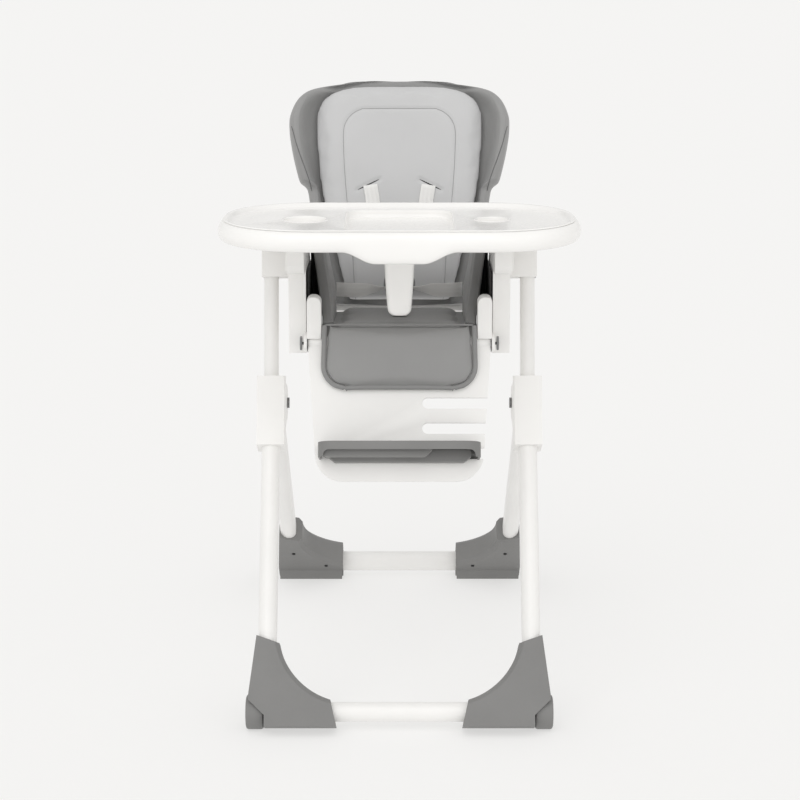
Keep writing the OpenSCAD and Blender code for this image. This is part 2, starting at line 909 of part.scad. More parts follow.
// Frame, wheels and the sliders on the rails
translate([0, shift_y, 0]) {
    for (side = ["left", "right"]) mirror([side == "left" ? 1 : 0, 0, 0]) {
        front_leg();
        rail();
        rail_cap();
        front_foot();
        axle();
        wheel();
        hub();
        pivot_pin();
        fold_button();
        rear_leg();
        knuckle();
        rear_foot();
        slider();
        height_button();
    }
    front_crossbar();
    rear_crossbar();
}

// Everything that the sliders carry
translate([0, shift_y + carriage_move[0], carriage_move[1]]) {
    for (side = ["left", "right"]) mirror([side == "left" ? 1 : 0, 0, 0]) {
        seat_side();
        armrest();
        front_cheek();
        bolster();
        waist_strap();
        shoulder_strap();
        leg_rest_button();
    }
    seat_pan();
    seat_cushion();
    buckle();
    crotch_strap();
    back_shell();
    recline_handle();
    back_cover();
    back_pad();
    leg_rest_panel();
    front_flap();
    footrest();
    tray_base();
    crotch_post();
    tray_lever();
    tray_liner();
}
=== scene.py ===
"""Looks of a folding baby high chair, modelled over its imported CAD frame."""
import json
import logging
import math
from dataclasses import dataclass
from enum import Enum
from typing import Callable, Sequence

import bpy
import numpy as np
from mathutils import Matrix, Vector
from mathutils.bvhtree import BVHTree


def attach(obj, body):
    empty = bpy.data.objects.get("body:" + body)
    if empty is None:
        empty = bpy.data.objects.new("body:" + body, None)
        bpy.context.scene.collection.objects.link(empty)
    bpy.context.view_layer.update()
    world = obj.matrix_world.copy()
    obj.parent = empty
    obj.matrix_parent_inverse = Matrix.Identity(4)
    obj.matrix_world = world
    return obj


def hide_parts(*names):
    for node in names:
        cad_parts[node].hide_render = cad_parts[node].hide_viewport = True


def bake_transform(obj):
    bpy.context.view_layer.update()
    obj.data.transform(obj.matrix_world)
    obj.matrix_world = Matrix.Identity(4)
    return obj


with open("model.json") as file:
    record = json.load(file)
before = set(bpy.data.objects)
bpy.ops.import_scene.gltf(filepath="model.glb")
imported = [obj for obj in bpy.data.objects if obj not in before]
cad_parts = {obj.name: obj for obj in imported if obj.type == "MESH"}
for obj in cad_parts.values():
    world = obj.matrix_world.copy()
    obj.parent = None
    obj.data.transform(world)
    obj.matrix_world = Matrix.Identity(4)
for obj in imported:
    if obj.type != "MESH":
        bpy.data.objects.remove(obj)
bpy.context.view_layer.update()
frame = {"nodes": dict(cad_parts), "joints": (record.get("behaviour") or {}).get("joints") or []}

LOG = logging.getLogger("high_chair")
Point2 = tuple[float, float]
MM = 0.001


def joint_place(name: str) -> Vector:
    """Place of a CAD joint in the row frame."""
    return Vector(next(j for j in frame["joints"] if j["name"] == name)["pos_m"])


def leaning(origin: Sequence[float], degrees: float) -> Matrix:
    """Local frame at a place, turned about X."""
    return Matrix.Translation(Vector(origin)) @ Matrix.Rotation(math.radians(degrees), 4, "X")


@dataclass(frozen=True)
class Places:
    """Local frames of the chair's parts and the angles that set them."""

    back_lean: float = 20.0
    leg_rest_lean: float = 20.0
    rail_lean: float = 13.0
    front_lean: float = 28.0
    seat_tilt: float = 3.6
    pivot_back: float = 63 * MM
    rear_leg: float = 678 * MM
    rear_bar_height: float = 30.5 * MM
    seat_height: float = 0.630
    seat_back: float = -6.5 * MM

    @property
    def back(self) -> Matrix:
        """Frame of the backrest."""
        return leaning(joint_place("back_recline"), -self.back_lean)

    @property
    def leg_rest(self) -> Matrix:
        """Frame of the leg rest."""
        return leaning(joint_place("leg_rest_tilt"), -self.leg_rest_lean)

    @property
    def seat(self) -> Matrix:
        """Frame of the seat cushion's top."""
        return leaning((0, self.seat_back, self.seat_height), -self.seat_tilt)

    @property
    def bend(self) -> Vector:
        """Where front leg and rail meet."""
        return joint_place("rear_fold") - Vector((0, self.pivot_back, 0))

    @property
    def rear(self) -> Matrix:
        """Frame of the rear legs."""
        hub = joint_place("rear_fold")
        lean = math.degrees(math.acos((hub.z - self.rear_bar_height) / self.rear_leg))
        return leaning(hub, lean)


PLACES = Places()


class Plane(Enum):
    """Plane that an outline is drawn in; the depth runs along the third axis."""

    FRONT = "XZ"
    SIDE = "YZ"
    TOP = "XY"

    def point(self, a: float, b: float, depth: float) -> Vector:
        """Point of the plane in 3-D."""
        if self is Plane.FRONT:
            return Vector((a, depth, b))
        if self is Plane.SIDE:
            return Vector((depth, a, b))
        return Vector((a, b, depth))


# ------------------------------------------------------------ mesh tools


def select_only(obj: bpy.types.Object) -> None:
    """Makes one object the selected and active one."""
    for other in bpy.context.selected_objects:
        other.select_set(False)
    obj.select_set(True)
    bpy.context.view_layer.objects.active = obj


def edit(obj: bpy.types.Object, *steps: Callable[[], object]) -> None:
    """Runs mesh operators on the whole of an object's mesh."""
    select_only(obj)
    bpy.ops.object.mode_set(mode="EDIT")
    bpy.ops.mesh.select_all(action="SELECT")
    for step in steps:
        step()
    bpy.ops.object.mode_set(mode="OBJECT")


def face_out() -> None:
    """Turns the selected faces outwards."""
    bpy.ops.mesh.normals_make_consistent(inside=False)


def modify(obj: bpy.types.Object, kind: str, **settings: object) -> bpy.types.Object:
    """Adds a modifier with settings and applies it."""
    select_only(obj)
    modifier = obj.modifiers.new(kind.title(), kind)
    for key, value in settings.items():
        setattr(modifier, key, value)
    bpy.ops.object.modifier_apply(modifier=modifier.name)
    return obj


def soften(obj: bpy.types.Object, width: float, segments: int = 3, angle: float = 32,
           clamp: bool = True) -> bpy.types.Object:
    """Rounds an object's edges that are sharper than an angle."""
    return modify(obj, "BEVEL", width=width, segments=segments, limit_method="ANGLE",
                  angle_limit=math.radians(angle), use_clamp_overlap=clamp)


def smooth(obj: bpy.types.Object, angle: float = 38) -> bpy.types.Object:
    """Shades an object smooth except across its sharp edges."""
    select_only(obj)
    bpy.ops.object.shade_smooth_by_angle(angle=math.radians(angle))
    return obj


def move(obj: bpy.types.Object, matrix: Matrix) -> bpy.types.Object:
    """Moves an object's mesh, and leaves the object at the origin."""
    obj.data.transform(matrix)
    obj.data.update()
    return obj


def prism(name: str, outline: Sequence[Point2], low: float, high: float, plane: Plane,
          bevel: float = 0.0, segments: int = 3, place: Matrix | None = None) -> bpy.types.Object:
    """Builds a plate from an outline.

    Args:
        name: Name of the object.
        outline: Corners of the outline, in order.
        low: Depth of its first face.
        high: Depth of its second face.
        plane: Plane of the outline.
        bevel: Radius of its rounded edges.
        segments: Steps of the rounding.
        place: Frame that the plate is drawn in.

    Returns:
        The plate.
    """
    bpy.ops.mesh.primitive_circle_add(vertices=len(outline), fill_type="NGON")
    obj = bpy.context.object
    obj.name = obj.data.name = name
    for vertex, (a, b) in zip(obj.data.vertices, outline):
        vertex.co = plane.point(a, b, low)
    step = plane.point(0, 0, high) - plane.point(0, 0, low)
    edit(obj,
         lambda: bpy.ops.mesh.extrude_region_move(TRANSFORM_OT_translate={"value": step}),
         lambda: bpy.ops.mesh.select_all(action="SELECT"), face_out)
    if bevel:
        soften(obj, bevel, segments)
    if place is not None:
        move(obj, place)
    return smooth(obj)


def surface(name: str, across: int, along: int, place: Callable[[float, float], Vector],
            weld: bool = True) -> bpy.types.Object:
    """Builds a surface from a grid whose points a function places.

    Args:
        name: Name of the object.
        across: Cells in the first direction.
        along: Cells in the second direction.
        place: Gives a point for two numbers from 0 to 1.
        weld: Whether points that meet are merged and open ends closed.

    Returns:
        The surface.
    """
    bpy.ops.mesh.primitive_grid_add(x_subdivisions=across, y_subdivisions=along, size=2)
    obj = bpy.context.object
    obj.name = obj.data.name = name
    for vertex in obj.data.vertices:
        vertex.co = place((vertex.co.x + 1) / 2, (vertex.co.y + 1) / 2)
    if weld:
        edit(obj, lambda: bpy.ops.mesh.remove_doubles(threshold=2e-6),
             lambda: bpy.ops.mesh.dissolve_degenerate(threshold=1e-6),
             lambda: bpy.ops.mesh.select_all(action="SELECT"),
             lambda: bpy.ops.mesh.fill_holes(sides=0),
             lambda: bpy.ops.mesh.select_all(action="SELECT"), face_out)
    return smooth(obj)


def loft(name: str, rings: Sequence[Sequence[Vector]]) -> bpy.types.Object:
    """Builds a closed solid through rings with equal numbers of points."""
    count = len(rings[0])
    last = len(rings) - 1

    def place(u: float, v: float) -> Vector:
        """Point of the ring nearest to v."""
        return rings[round(v * last)][round(u * count) % count]

    return surface(name, count, last, place)


def tube(name: str, path: Sequence[Vector], section: Sequence[Point2], up: Vector,
         closed: bool = False) -> bpy.types.Object:
    """Sweeps a closed section along a path.

    Args:
        name: Name of the object.
        path: Points of the path.
        section: Section's points, across and up.
        up: Direction that the section's second axis keeps to.
        closed: Whether the path's end meets its start.

    Returns:
        The tube.
    """
    rings = []
    count = len(path)
    for i, point in enumerate(path):
        if closed:
            ahead, behind = path[(i + 1) % count], path[i - 1]
        else:
            ahead, behind = path[min(i + 1, count - 1)], path[max(i - 1, 0)]
        tangent = (ahead - behind).normalized()
        side = tangent.cross(up).normalized()
        top = side.cross(tangent).normalized()
        rings.append([point + side * a + top * b for a, b in section])
    if closed:
        rings.append(rings[0])
    return loft(name, rings)


def circle(radius: float, steps: int = 8, x: float = 0.0, y: float = 0.0) -> list[Point2]:
    """Points of a circle around a place."""
    return [(x + radius * math.cos(t), y + radius * math.sin(t))
            for t in np.linspace(0, 2 * math.pi, steps, endpoint=False)]


def oblong(x0: float, x1: float, y0: float, y1: float) -> list[Point2]:
    """Corners of a rectangle, in order."""
    return [(x0, y0), (x1, y0), (x1, y1), (x0, y1)]


def in_metres(outline: Sequence[Point2]) -> list[Point2]:
    """Outline in millimetres, turned into metres."""
    return [(a * MM, b * MM) for a, b in outline]


def flat_section(width: float, thick: float, steps: int = 3) -> list[Point2]:
    """Section of a flat strap with round edges."""
    r = thick / 2
    right = [(width / 2 - r + r * math.cos(t), r * math.sin(t))
             for t in np.linspace(-math.pi / 2, math.pi / 2, steps + 2)]
    return right + [(-a, -b) for a, b in right]


def fillet(points: Sequence[Point2], radii: Sequence[float] | float, steps: int = 7) -> list[Point2]:
    """Rounds the corners of an outline.

    Args:
        points: Corners of the outline.
        radii: One radius, or one for each corner.
        steps: Points of each rounding.

    Returns:
        The outline with arcs in its corners.
    """
    if not isinstance(radii, Sequence):
        radii = [radii] * len(points)
    out: list[Point2] = []
    for i, point in enumerate(points):
        here = Vector(point)
        to_last = Vector(points[i - 1]) - here
        to_next = Vector(points[(i + 1) % len(points)]) - here
        radius = radii[i]
        angle = to_last.angle(to_next)
        if radius <= 0 or angle > math.pi - 1e-3:
            out.append(point)
            continue
        reach = min(radius / math.tan(angle / 2), 0.49 * to_last.length, 0.49 * to_next.length)
        radius = reach * math.tan(angle / 2)
        a, b = to_last.normalized(), to_next.normalized()
        middle = here + (a + b).normalized() * (radius / math.sin(angle / 2))
        start, stop = here + a * reach - middle, here + b * reach - middle
        turn = start.angle_signed(stop)
        for k in range(steps + 1):
            spot = middle + Matrix.Rotation(-turn * k / steps, 2) @ start
            out.append((spot.x, spot.y))
    return out


@dataclass(frozen=True)
class Curve:
    """Smooth curve through places and values."""

    table: tuple[Point2, ...]

    def at(self, place: float) -> float:
        """Value at a place, held at the ends."""
        xs = [p[0] for p in self.table]
        ys = [p[1] for p in self.table]
        if place <= xs[0]:
            return ys[0]
        if place >= xs[-1]:
            return ys[-1]
        i = max(k for k in range(len(xs) - 1) if xs[k] <= place)

        def slope(k: int) -> float:
            """Slope at a knot."""
            if k in (0, len(xs) - 1):
                return 0.0 if k else (ys[1] - ys[0]) / (xs[1] - xs[0])
            before = (ys[k] - ys[k - 1]) / (xs[k] - xs[k - 1])
            after = (ys[k + 1] - ys[k]) / (xs[k + 1] - xs[k])
            return 0.0 if before * after <= 0 else 2 * before * after / (before + after)

        h = xs[i + 1] - xs[i]
        t = (place - xs[i]) / h
        return ((2 * t**3 - 3 * t**2 + 1) * ys[i] + (t**3 - 2 * t**2 + t) * h * slope(i)
                + (-2 * t**3 + 3 * t**2) * ys[i + 1] + (t**3 - t**2) * h * slope(i + 1))


def spline(points: Sequence[Vector], count: int, closed: bool = False) -> list[Vector]:
    """Evenly spaced points of a smooth curve through points."""
    knots = [Vector(p) for p in points]
    total = len(knots)
    spans = total if closed else total - 1
    fine: list[Vector] = []
    for i in range(spans):
        if closed:
            p0, p1, p2, p3 = (knots[(i + k) % total] for k in (-1, 0, 1, 2))
        else:
            p1, p2 = knots[i], knots[i + 1]
            p0 = knots[i - 1] if i else 2 * p1 - p2
            p3 = knots[i + 2] if i + 2 < total else 2 * p2 - p1
        for t in np.linspace(0, 1, 24, endpoint=False):
            fine.append(0.5 * (2 * p1 + (p2 - p0) * t + (2 * p0 - 5 * p1 + 4 * p2 - p3) * t**2
                               + (3 * p1 - p0 - 3 * p2 + p3) * t**3))
    fine.append(knots[0] if closed else knots[-1])
    steps = np.cumsum([0.0] + [(b - a).length for a, b in zip(fine, fine[1:])])
    wanted = np.linspace(0, steps[-1], count + 1 if closed else count)
    if closed:
        wanted = wanted[:-1]
    columns = np.array([list(p) for p in fine])
    return [Vector([float(np.interp(w, steps, columns[:, c])) for c in range(columns.shape[1])])
            for w in wanted]


def cut(obj: bpy.types.Object, *tools: bpy.types.Object) -> bpy.types.Object:
    """Cuts other solids out of an object and removes them."""
    for tool in tools:
        modify(obj, "BOOLEAN", operation="DIFFERENCE", object=tool, solver="EXACT")
        bpy.data.objects.remove(tool)
    return obj


def join(name: str, *parts: bpy.types.Object) -> bpy.types.Object:
    """Joins objects into one piece."""
    select_only(parts[0])
    for part in parts[1:]:
        part.select_set(True)
    bpy.ops.object.join()
    parts[0].name = parts[0].data.name = name
    return parts[0]


def copy_of(node: str, name: str) -> bpy.types.Object:
    """Merged copy of a CAD node's mesh, as an object of its own."""
    obj = bpy.data.objects.new(name, frame["nodes"][node].data.copy())
    bpy.context.scene.collection.objects.link(obj)
    obj.data.name = name
    obj.data.materials.clear()
    select_only(obj)
    bpy.ops.mesh.customdata_custom_splitnormals_clear()
    edit(obj, lambda: bpy.ops.mesh.remove_doubles(threshold=5e-6),
         lambda: bpy.ops.mesh.dissolve_limited(angle_limit=math.radians(0.6)), face_out)
    return obj


def refined(node: str, width: float, segments: int = 3, angle: float = 32,
            clamp: bool = True) -> bpy.types.Object:
    """Copy of a CAD node with rounded edges, which stands for it."""
    obj = copy_of(node, f"{node}_shape")
    soften(obj, width, segments, angle, clamp)
    smooth(obj)
    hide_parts(node)
    return obj


def coordinates(obj: bpy.types.Object) -> np.ndarray:
    """Points of an object's mesh."""
    out = np.zeros(len(obj.data.vertices) * 3)
    obj.data.vertices.foreach_get("co", out)
    return out.reshape(-1, 3)


def place_points(obj: bpy.types.Object, points: np.ndarray) -> None:
    """Moves the points of an object's mesh."""
    obj.data.vertices.foreach_set("co", points.ravel())
    obj.data.update()


def puff(obj: bpy.types.Object, voxel: float = 5 * MM, pressure: float = 4.0,
         cap: float = 8 * MM, shrink: float = 2 * MM) -> bpy.types.Object:
    """Fills a closed soft shape with a cloth simulation.

    Args:
        obj: Closed mesh at its finished size.
        voxel: Size of the remeshed cells.
        pressure: Pressure inside the cloth.
        cap: Furthest that a point may move.
        shrink: How much smaller the cloth starts.

    Returns:
        The same object, puffed.
    """
    modify(obj, "REMESH", mode="VOXEL", voxel_size=voxel)
    modify(obj, "SMOOTH", factor=0.5, iterations=3)
    edit(obj, face_out, lambda: bpy.ops.transform.shrink_fatten(value=-shrink))
    rest = coordinates(obj)
    select_only(obj)
    cloth = obj.modifiers.new("Cloth", "CLOTH")
    cloth.settings.quality = 4
    cloth.settings.use_pressure = True
    cloth.settings.uniform_pressure_force = pressure
    cloth.settings.effector_weights.gravity = 0
    cloth.collision_settings.use_collision = False
    for step in range(1, 21):
        bpy.context.scene.frame_set(step)
    depsgraph = bpy.context.evaluated_depsgraph_get()
    blown = obj.evaluated_get(depsgraph).to_mesh()
    out = np.zeros(len(blown.vertices) * 3)
    blown.vertices.foreach_get("co", out)
    moved = out.reshape(-1, 3) - rest
    obj.evaluated_get(depsgraph).to_mesh_clear()
    obj.modifiers.remove(cloth)
    bpy.context.scene.frame_set(1)
    far = np.linalg.norm(moved, axis=1, keepdims=True)
    place_points(obj, rest + moved * np.minimum(1, cap / np.maximum(far, 1e-9)))
    modify(obj, "SMOOTH", factor=0.5, iterations=2)
    modify(obj, "SUBSURF", levels=1)
    return smooth(obj, 60)


def crease(obj: bpy.types.Object, path: Sequence[Vector], depth: float, width: float,
           into: Vector) -> None:
    """Presses a soft groove into a mesh along a path.

    Args:
        obj: The soft piece.
        path: Points of the groove's line, on the surface.
        depth: Depth of the groove.
        width: Half width of the groove.
        into: Direction of the press.
    """
    points = coordinates(obj)
    line = np.array([list(p) for p in path])
    normals = np.zeros(len(points) * 3)
    obj.data.vertices.foreach_get("normal", normals)
    facing = normals.reshape(-1, 3) @ np.array(into) < -0.2
    near = np.full(len(points), 1e9)
    for a, b in zip(line, line[1:]):
        d = b - a
        t = np.clip(((points - a) @ d) / max(d @ d, 1e-12), 0, 1)
        near = np.minimum(near, np.linalg.norm(points - a - t[:, None] * d, axis=1))
    press = depth * np.exp(-((near / width) ** 2)) * facing
    place_points(obj, points + press[:, None] * np.array(into)[None, :])


class Draper:
    """Lays lines on the front of a piece by looking along one direction."""

    def __init__(self, obj: bpy.types.Object, look: Vector) -> None:
        """Keeps the piece's surface and the direction of the look."""
        self.look = look.normalized()
        self.tree = BVHTree.FromObject(obj, bpy.context.evaluated_depsgraph_get())

    def lay(self, points: Sequence[Vector], proud: float = 0.0) -> list[Vector]:
        """Points of a line, moved onto the surface; the ones that miss are left out."""
        out = []
        for point in points:
            hit = self.tree.ray_cast(point - self.look * 0.3, self.look)[0]
            if hit is not None:
                out.append(hit - self.look * proud)
        return out


# ------------------------------------------------------------- materials


class Graph:
    """Adds and links nodes in a node tree."""

    def __init__(self, tree: bpy.types.NodeTree) -> None:
        """Keeps the tree."""
        self.tree = tree

    def add(self, kind: str, inputs: dict[object, object] | None = None,
            **settings: object) -> bpy.types.Node:
        """Adds a node.

        Args:
            kind: The node's type, after "ShaderNode".
            inputs: Values or sockets by input name or number.
            settings: Properties of the node.

        Returns:
            The node.
        """
        node = self.tree.nodes.new(f"ShaderNode{kind}")
        for key, value in settings.items():
            setattr(node, key, value)
        for key, value in (inputs or {}).items():
            socket = node.inputs[key]
            if isinstance(value, bpy.types.NodeSocket):
                self.tree.links.new(value, socket)
            else:
                socket.default_value = value
        return node

    def math(self, operation: str, a: object, b: object = 0.0) -> bpy.types.NodeSocket:
        """Result of a sum on two values."""
        return self.add("Math", {0: a, 1: b}, operation=operation).outputs[0]

    def ramp(self, value: object, low: float, high: float, to_low: float,
             to_high: float) -> bpy.types.NodeSocket:
        """Value carried from one range to another."""
        return self.add("MapRange", {"Value": value, "From Min": low, "From Max": high,
                                     "To Min": to_low, "To Max": to_high}).outputs[0]

    def mix(self, factor: object, a: object, b: object) -> bpy.types.NodeSocket:
        """Mix of two colours."""
        return self.add("Mix", {0: factor, 6: a, 7: b}, data_type="RGBA").outputs[2]


GroupParts = tuple[bpy.types.NodeTree, Graph, bpy.types.Node, bpy.types.Node]


def group(name: str, inputs: dict[str, str], outputs: dict[str, str]) -> GroupParts:
    """Starts a shared node group with its sockets."""
    tree = bpy.data.node_groups.new(name, "ShaderNodeTree")
    for socket, kind in inputs.items():
        tree.interface.new_socket(name=socket, in_out="INPUT", socket_type=f"NodeSocket{kind}")
    for socket, kind in outputs.items():
        tree.interface.new_socket(name=socket, in_out="OUTPUT", socket_type=f"NodeSocket{kind}")
    return tree, Graph(tree), tree.nodes.new("NodeGroupInput"), tree.nodes.new("NodeGroupOutput")


def build_mottle() -> bpy.types.NodeTree:
    """Slow and fine variation of tone, from 0 to 1."""
    tree, g, source, sink = group("Mottle", {"Vector": "Vector", "Size": "Float"},
                                  {"Tone": "Float", "Fine": "Float"})
    slow = g.add("TexNoise", {"Vector": source.outputs["Vector"], "Scale": source.outputs["Size"],
                              "Detail": 3.0})
    fast = g.add("TexNoise", {"Vector": source.outputs["Vector"], "Scale": 240.0, "Detail": 2.0})
    tree.links.new(g.ramp(slow.outputs[0], 0.3, 0.7, 0.0, 1.0), sink.inputs["Tone"])
    tree.links.new(g.ramp(fast.outputs[0], 0.3, 0.7, 0.0, 1.0), sink.inputs["Fine"])
    return tree


def build_grain() -> bpy.types.NodeTree:
    """Pebbled grain: small cells with soft valleys between them, and a mask of the valleys for painted shade."""
    tree, g, source, sink = group("Grain", {"Vector": "Vector", "Size": "Float"},
                                  {"Height": "Float", "ValleyShade": "Float"})
    bend = g.add("TexNoise", {"Vector": source.outputs["Vector"], "Scale": 160.0, "Detail": 1.0})
    shifted = g.add("VectorMath", {0: bend.outputs[1], 1: bend.outputs[1], 2: source.outputs["Vector"]},
                    operation="MULTIPLY_ADD")
    cells = g.add("TexVoronoi", {"Vector": shifted.outputs[0], "Scale": source.outputs["Size"]},
                  feature="SMOOTH_F1")
    height = g.math("SUBTRACT", 1.0, cells.outputs["Distance"])
    tree.links.new(height, sink.inputs["Height"])
    tree.links.new(g.ramp(cells.outputs["Distance"], 0.35, 0.75, 0.0, 1.0), sink.inputs["ValleyShade"])
    return tree


def build_weave() -> bpy.types.NodeTree:
    """Ribs along and across a woven strap, with a mask of the hollows between them for painted shade."""
    tree, g, source, sink = group("Weave", {"Vector": "Vector"}, {"Height": "Float", "ValleyShade": "Float"})
    split = g.add("SeparateXYZ", {0: source.outputs["Vector"]})
    across = g.math("SINE", g.math("MULTIPLY", split.outputs[0], 2 * math.pi))
    along = g.math("SINE", g.math("MULTIPLY", split.outputs[1], 2 * math.pi))
    height = g.math("MULTIPLY", across, along)
    tree.links.new(height, sink.inputs["Height"])
    tree.links.new(g.ramp(height, -1.0, 0.2, 1.0, 0.0), sink.inputs["ValleyShade"])
    return tree


def linear_colour(level: float, tint: tuple[float, float, float] = (1, 1, 1)) -> tuple[float, ...]:
    """Linear colour of a grey level from 0 to 255, with a tint."""
    c = level / 255
    value = c / 12.92 if c <= 0.04045 else ((c + 0.055) / 1.055) ** 2.4
    return (value * tint[0], value * tint[1], value * tint[2], 1.0)


class Texture(Enum):
    """Surface of a material."""

    MOULDED = "moulded"
    LEATHER = "leather"
    WOVEN = "woven"
    METAL = "metal"


@dataclass(frozen=True)
class Finish:
    """A material's colours and surface.

    Attributes:
        slot: The record's material slot.
        level: Grey level of its colour.
        tint: Warmth or coolness of its colour.
        rough: Lowest and highest roughness.
        texture: Kind of its surface.
        bump: Strength of its relief.
        spread: How far its tone varies.
        coat: Weight of its clear coat.
        sheen: Weight of its sheen.
    """

    slot: str
    level: float
    tint: tuple[float, float, float] = (1.0, 1.0, 1.0)
    rough: tuple[float, float] = (0.35, 0.45)
    texture: Texture = Texture.MOULDED
    bump: float = 0.05
    spread: float = 0.04
    coat: float = 0.0
    sheen: float = 0.0


class Materials:
    """Every material of the chair, built once."""

    WARM = (1.0, 0.99, 0.97)
    COOL = (0.985, 0.995, 1.0)
    COVER = (1.0, 0.995, 0.985)

    def __init__(self) -> None:
        """Builds the shared groups and the materials."""
        self.mottle = build_mottle()
        self.grain = build_grain()
        self.weave = build_weave()
        warm, cool, cover, leather, woven = self.WARM, self.COOL, self.COVER, Texture.LEATHER, Texture.WOVEN
        finishes = (
            ("tube", "tube_paint", Finish("frame_tube", 240, warm, (0.30, 0.38), spread=0.02)),
            ("white", "white_plastic",
             Finish("white_plastic", 243, warm, (0.38, 0.46), bump=0.06, spread=0.02)),
            ("gloss", "tray_plastic",
             Finish("tray_plastic", 247, warm, (0.20, 0.27), bump=0.02, spread=0.015)),
            ("grey", "grey_plastic",
             Finish("grey_plastic", 127, warm, (0.50, 0.60), bump=0.14, spread=0.05)),
            ("button", "button_plastic",
             Finish("button_plastic", 126, cool, (0.40, 0.50), bump=0.10, spread=0.05)),
            ("steel", "plain_steel",
             Finish("steel_pin", 120, rough=(0.25, 0.35), texture=Texture.METAL)),
            ("dark", "dark_leatherette",
             Finish("dark_cover", 149, cover, (0.46, 0.58), leather, 0.16, 0.05, sheen=0.15)),
            ("binding", "binding_leatherette",
             Finish("dark_cover", 138, cover, (0.50, 0.60), leather, 0.16, 0.05, sheen=0.15)),
            ("light", "light_leatherette",
             Finish("light_cover", 200, (0.995, 0.995, 1.0), (0.44, 0.54), leather, 0.12, 0.025, sheen=0.12)),
            ("thread", "seam_thread",
             Finish("light_cover", 158, rough=(0.7, 0.8), texture=woven, bump=0.1)),
            ("dark_thread", "dark_seam_thread",
             Finish("dark_cover", 104, rough=(0.7, 0.8), texture=woven, bump=0.1)),
            ("webbing", "woven_webbing",
             Finish("webbing", 241, warm, (0.65, 0.80), woven, 0.5, 0.05, sheen=0.2)),
            # Near black: the colour of the rear feet's screws, and painted shade on the sheets inside the seat sides,
            # behind the gaps beside the bolsters and in the strap slits.
            ("black", "screw_black_and_painted_shade", Finish("button_plastic", 34, rough=(0.6, 0.7), spread=0.1)))
        for key, name, finish in finishes:
            setattr(self, key, self.build(name, finish))

    def build(self, name: str, finish: Finish) -> bpy.types.Material:
        """Builds one material.

        Args:
            name: Name of the material.
            finish: Its colours and surface.

        Returns:
            The material.
        """
        material = bpy.data.materials.new(name)
        material.use_nodes = True
        material["slot"] = finish.slot
        g = Graph(material.node_tree)
        shader = material.node_tree.nodes["Principled BSDF"]
        coord = g.add("TexCoord")
        spot = coord.outputs["Object"]
        mottle = g.add("Group", node_tree=self.mottle)
        g.tree.links.new(spot, mottle.inputs["Vector"])
        mottle.inputs["Size"].default_value = 9.0
        base = linear_colour(finish.level, finish.tint)
        darker = tuple(c * (1 - finish.spread) for c in base[:3]) + (1.0,)
        lighter = tuple(min(1.0, c * (1 + finish.spread)) for c in base[:3]) + (1.0,)
        colour = g.mix(mottle.outputs["Tone"], darker, lighter)
        relief = mottle.outputs["Fine"]
        reach = 0.00008
        if finish.texture in (Texture.LEATHER, Texture.WOVEN):
            woven = finish.texture is Texture.WOVEN
            cloth = g.add("Group", node_tree=self.weave if woven else self.grain)
            if woven:
                stretch = g.add("Mapping", {"Vector": coord.outputs["UV"], "Scale": (16.0, 90.0, 1.0)})
                g.tree.links.new(stretch.outputs[0], cloth.inputs["Vector"])
                reach = 0.0004
            else:
                g.tree.links.new(spot, cloth.inputs["Vector"])
                cloth.inputs["Size"].default_value = 620.0
                reach = 0.0003
            # Painted shade: the grain's valleys and the weave's hollows are coloured darker.
            valley = tuple(c * 0.86 for c in base[:3]) + (1.0,)
            colour = g.mix(g.math("MULTIPLY", cloth.outputs["ValleyShade"], 0.45), colour, valley)
            relief = g.math("ADD", cloth.outputs["Height"], g.math("MULTIPLY", mottle.outputs["Fine"], 0.25))
        g.tree.links.new(colour, shader.inputs["Base Color"])
        g.tree.links.new(g.ramp(mottle.outputs["Fine"], 0.0, 1.0, *finish.rough), shader.inputs["Roughness"])
        bump = g.add("Bump", {"Height": relief, "Strength": finish.bump, "Distance": reach})
        g.tree.links.new(bump.outputs[0], shader.inputs["Normal"])
        shader.inputs["Metallic"].default_value = 1.0 if finish.texture is Texture.METAL else 0.0
        shader.inputs["Sheen Weight"].default_value = finish.sheen
        shader.inputs["Coat Weight"].default_value = finish.coat
        return material


def dress(obj: bpy.types.Object, material: bpy.types.Material, body: str | None = None) -> bpy.types.Object:
    """Gives a piece its material and the body that it rides on."""
    obj.data.materials.clear()
    obj.data.materials.append(material)
    if body is not None:
        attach(obj, body)
    LOG.info("piece %s: %s", obj.name, material.name)
    return obj


def both_sides(build: Callable[[str, int], None]) -> None:
    """Builds a piece on the left, then on the right."""
    for side, sign in (("left", -1), ("right", 1)):
        build(side, sign)


# ----------------------------------------------------------------- studio


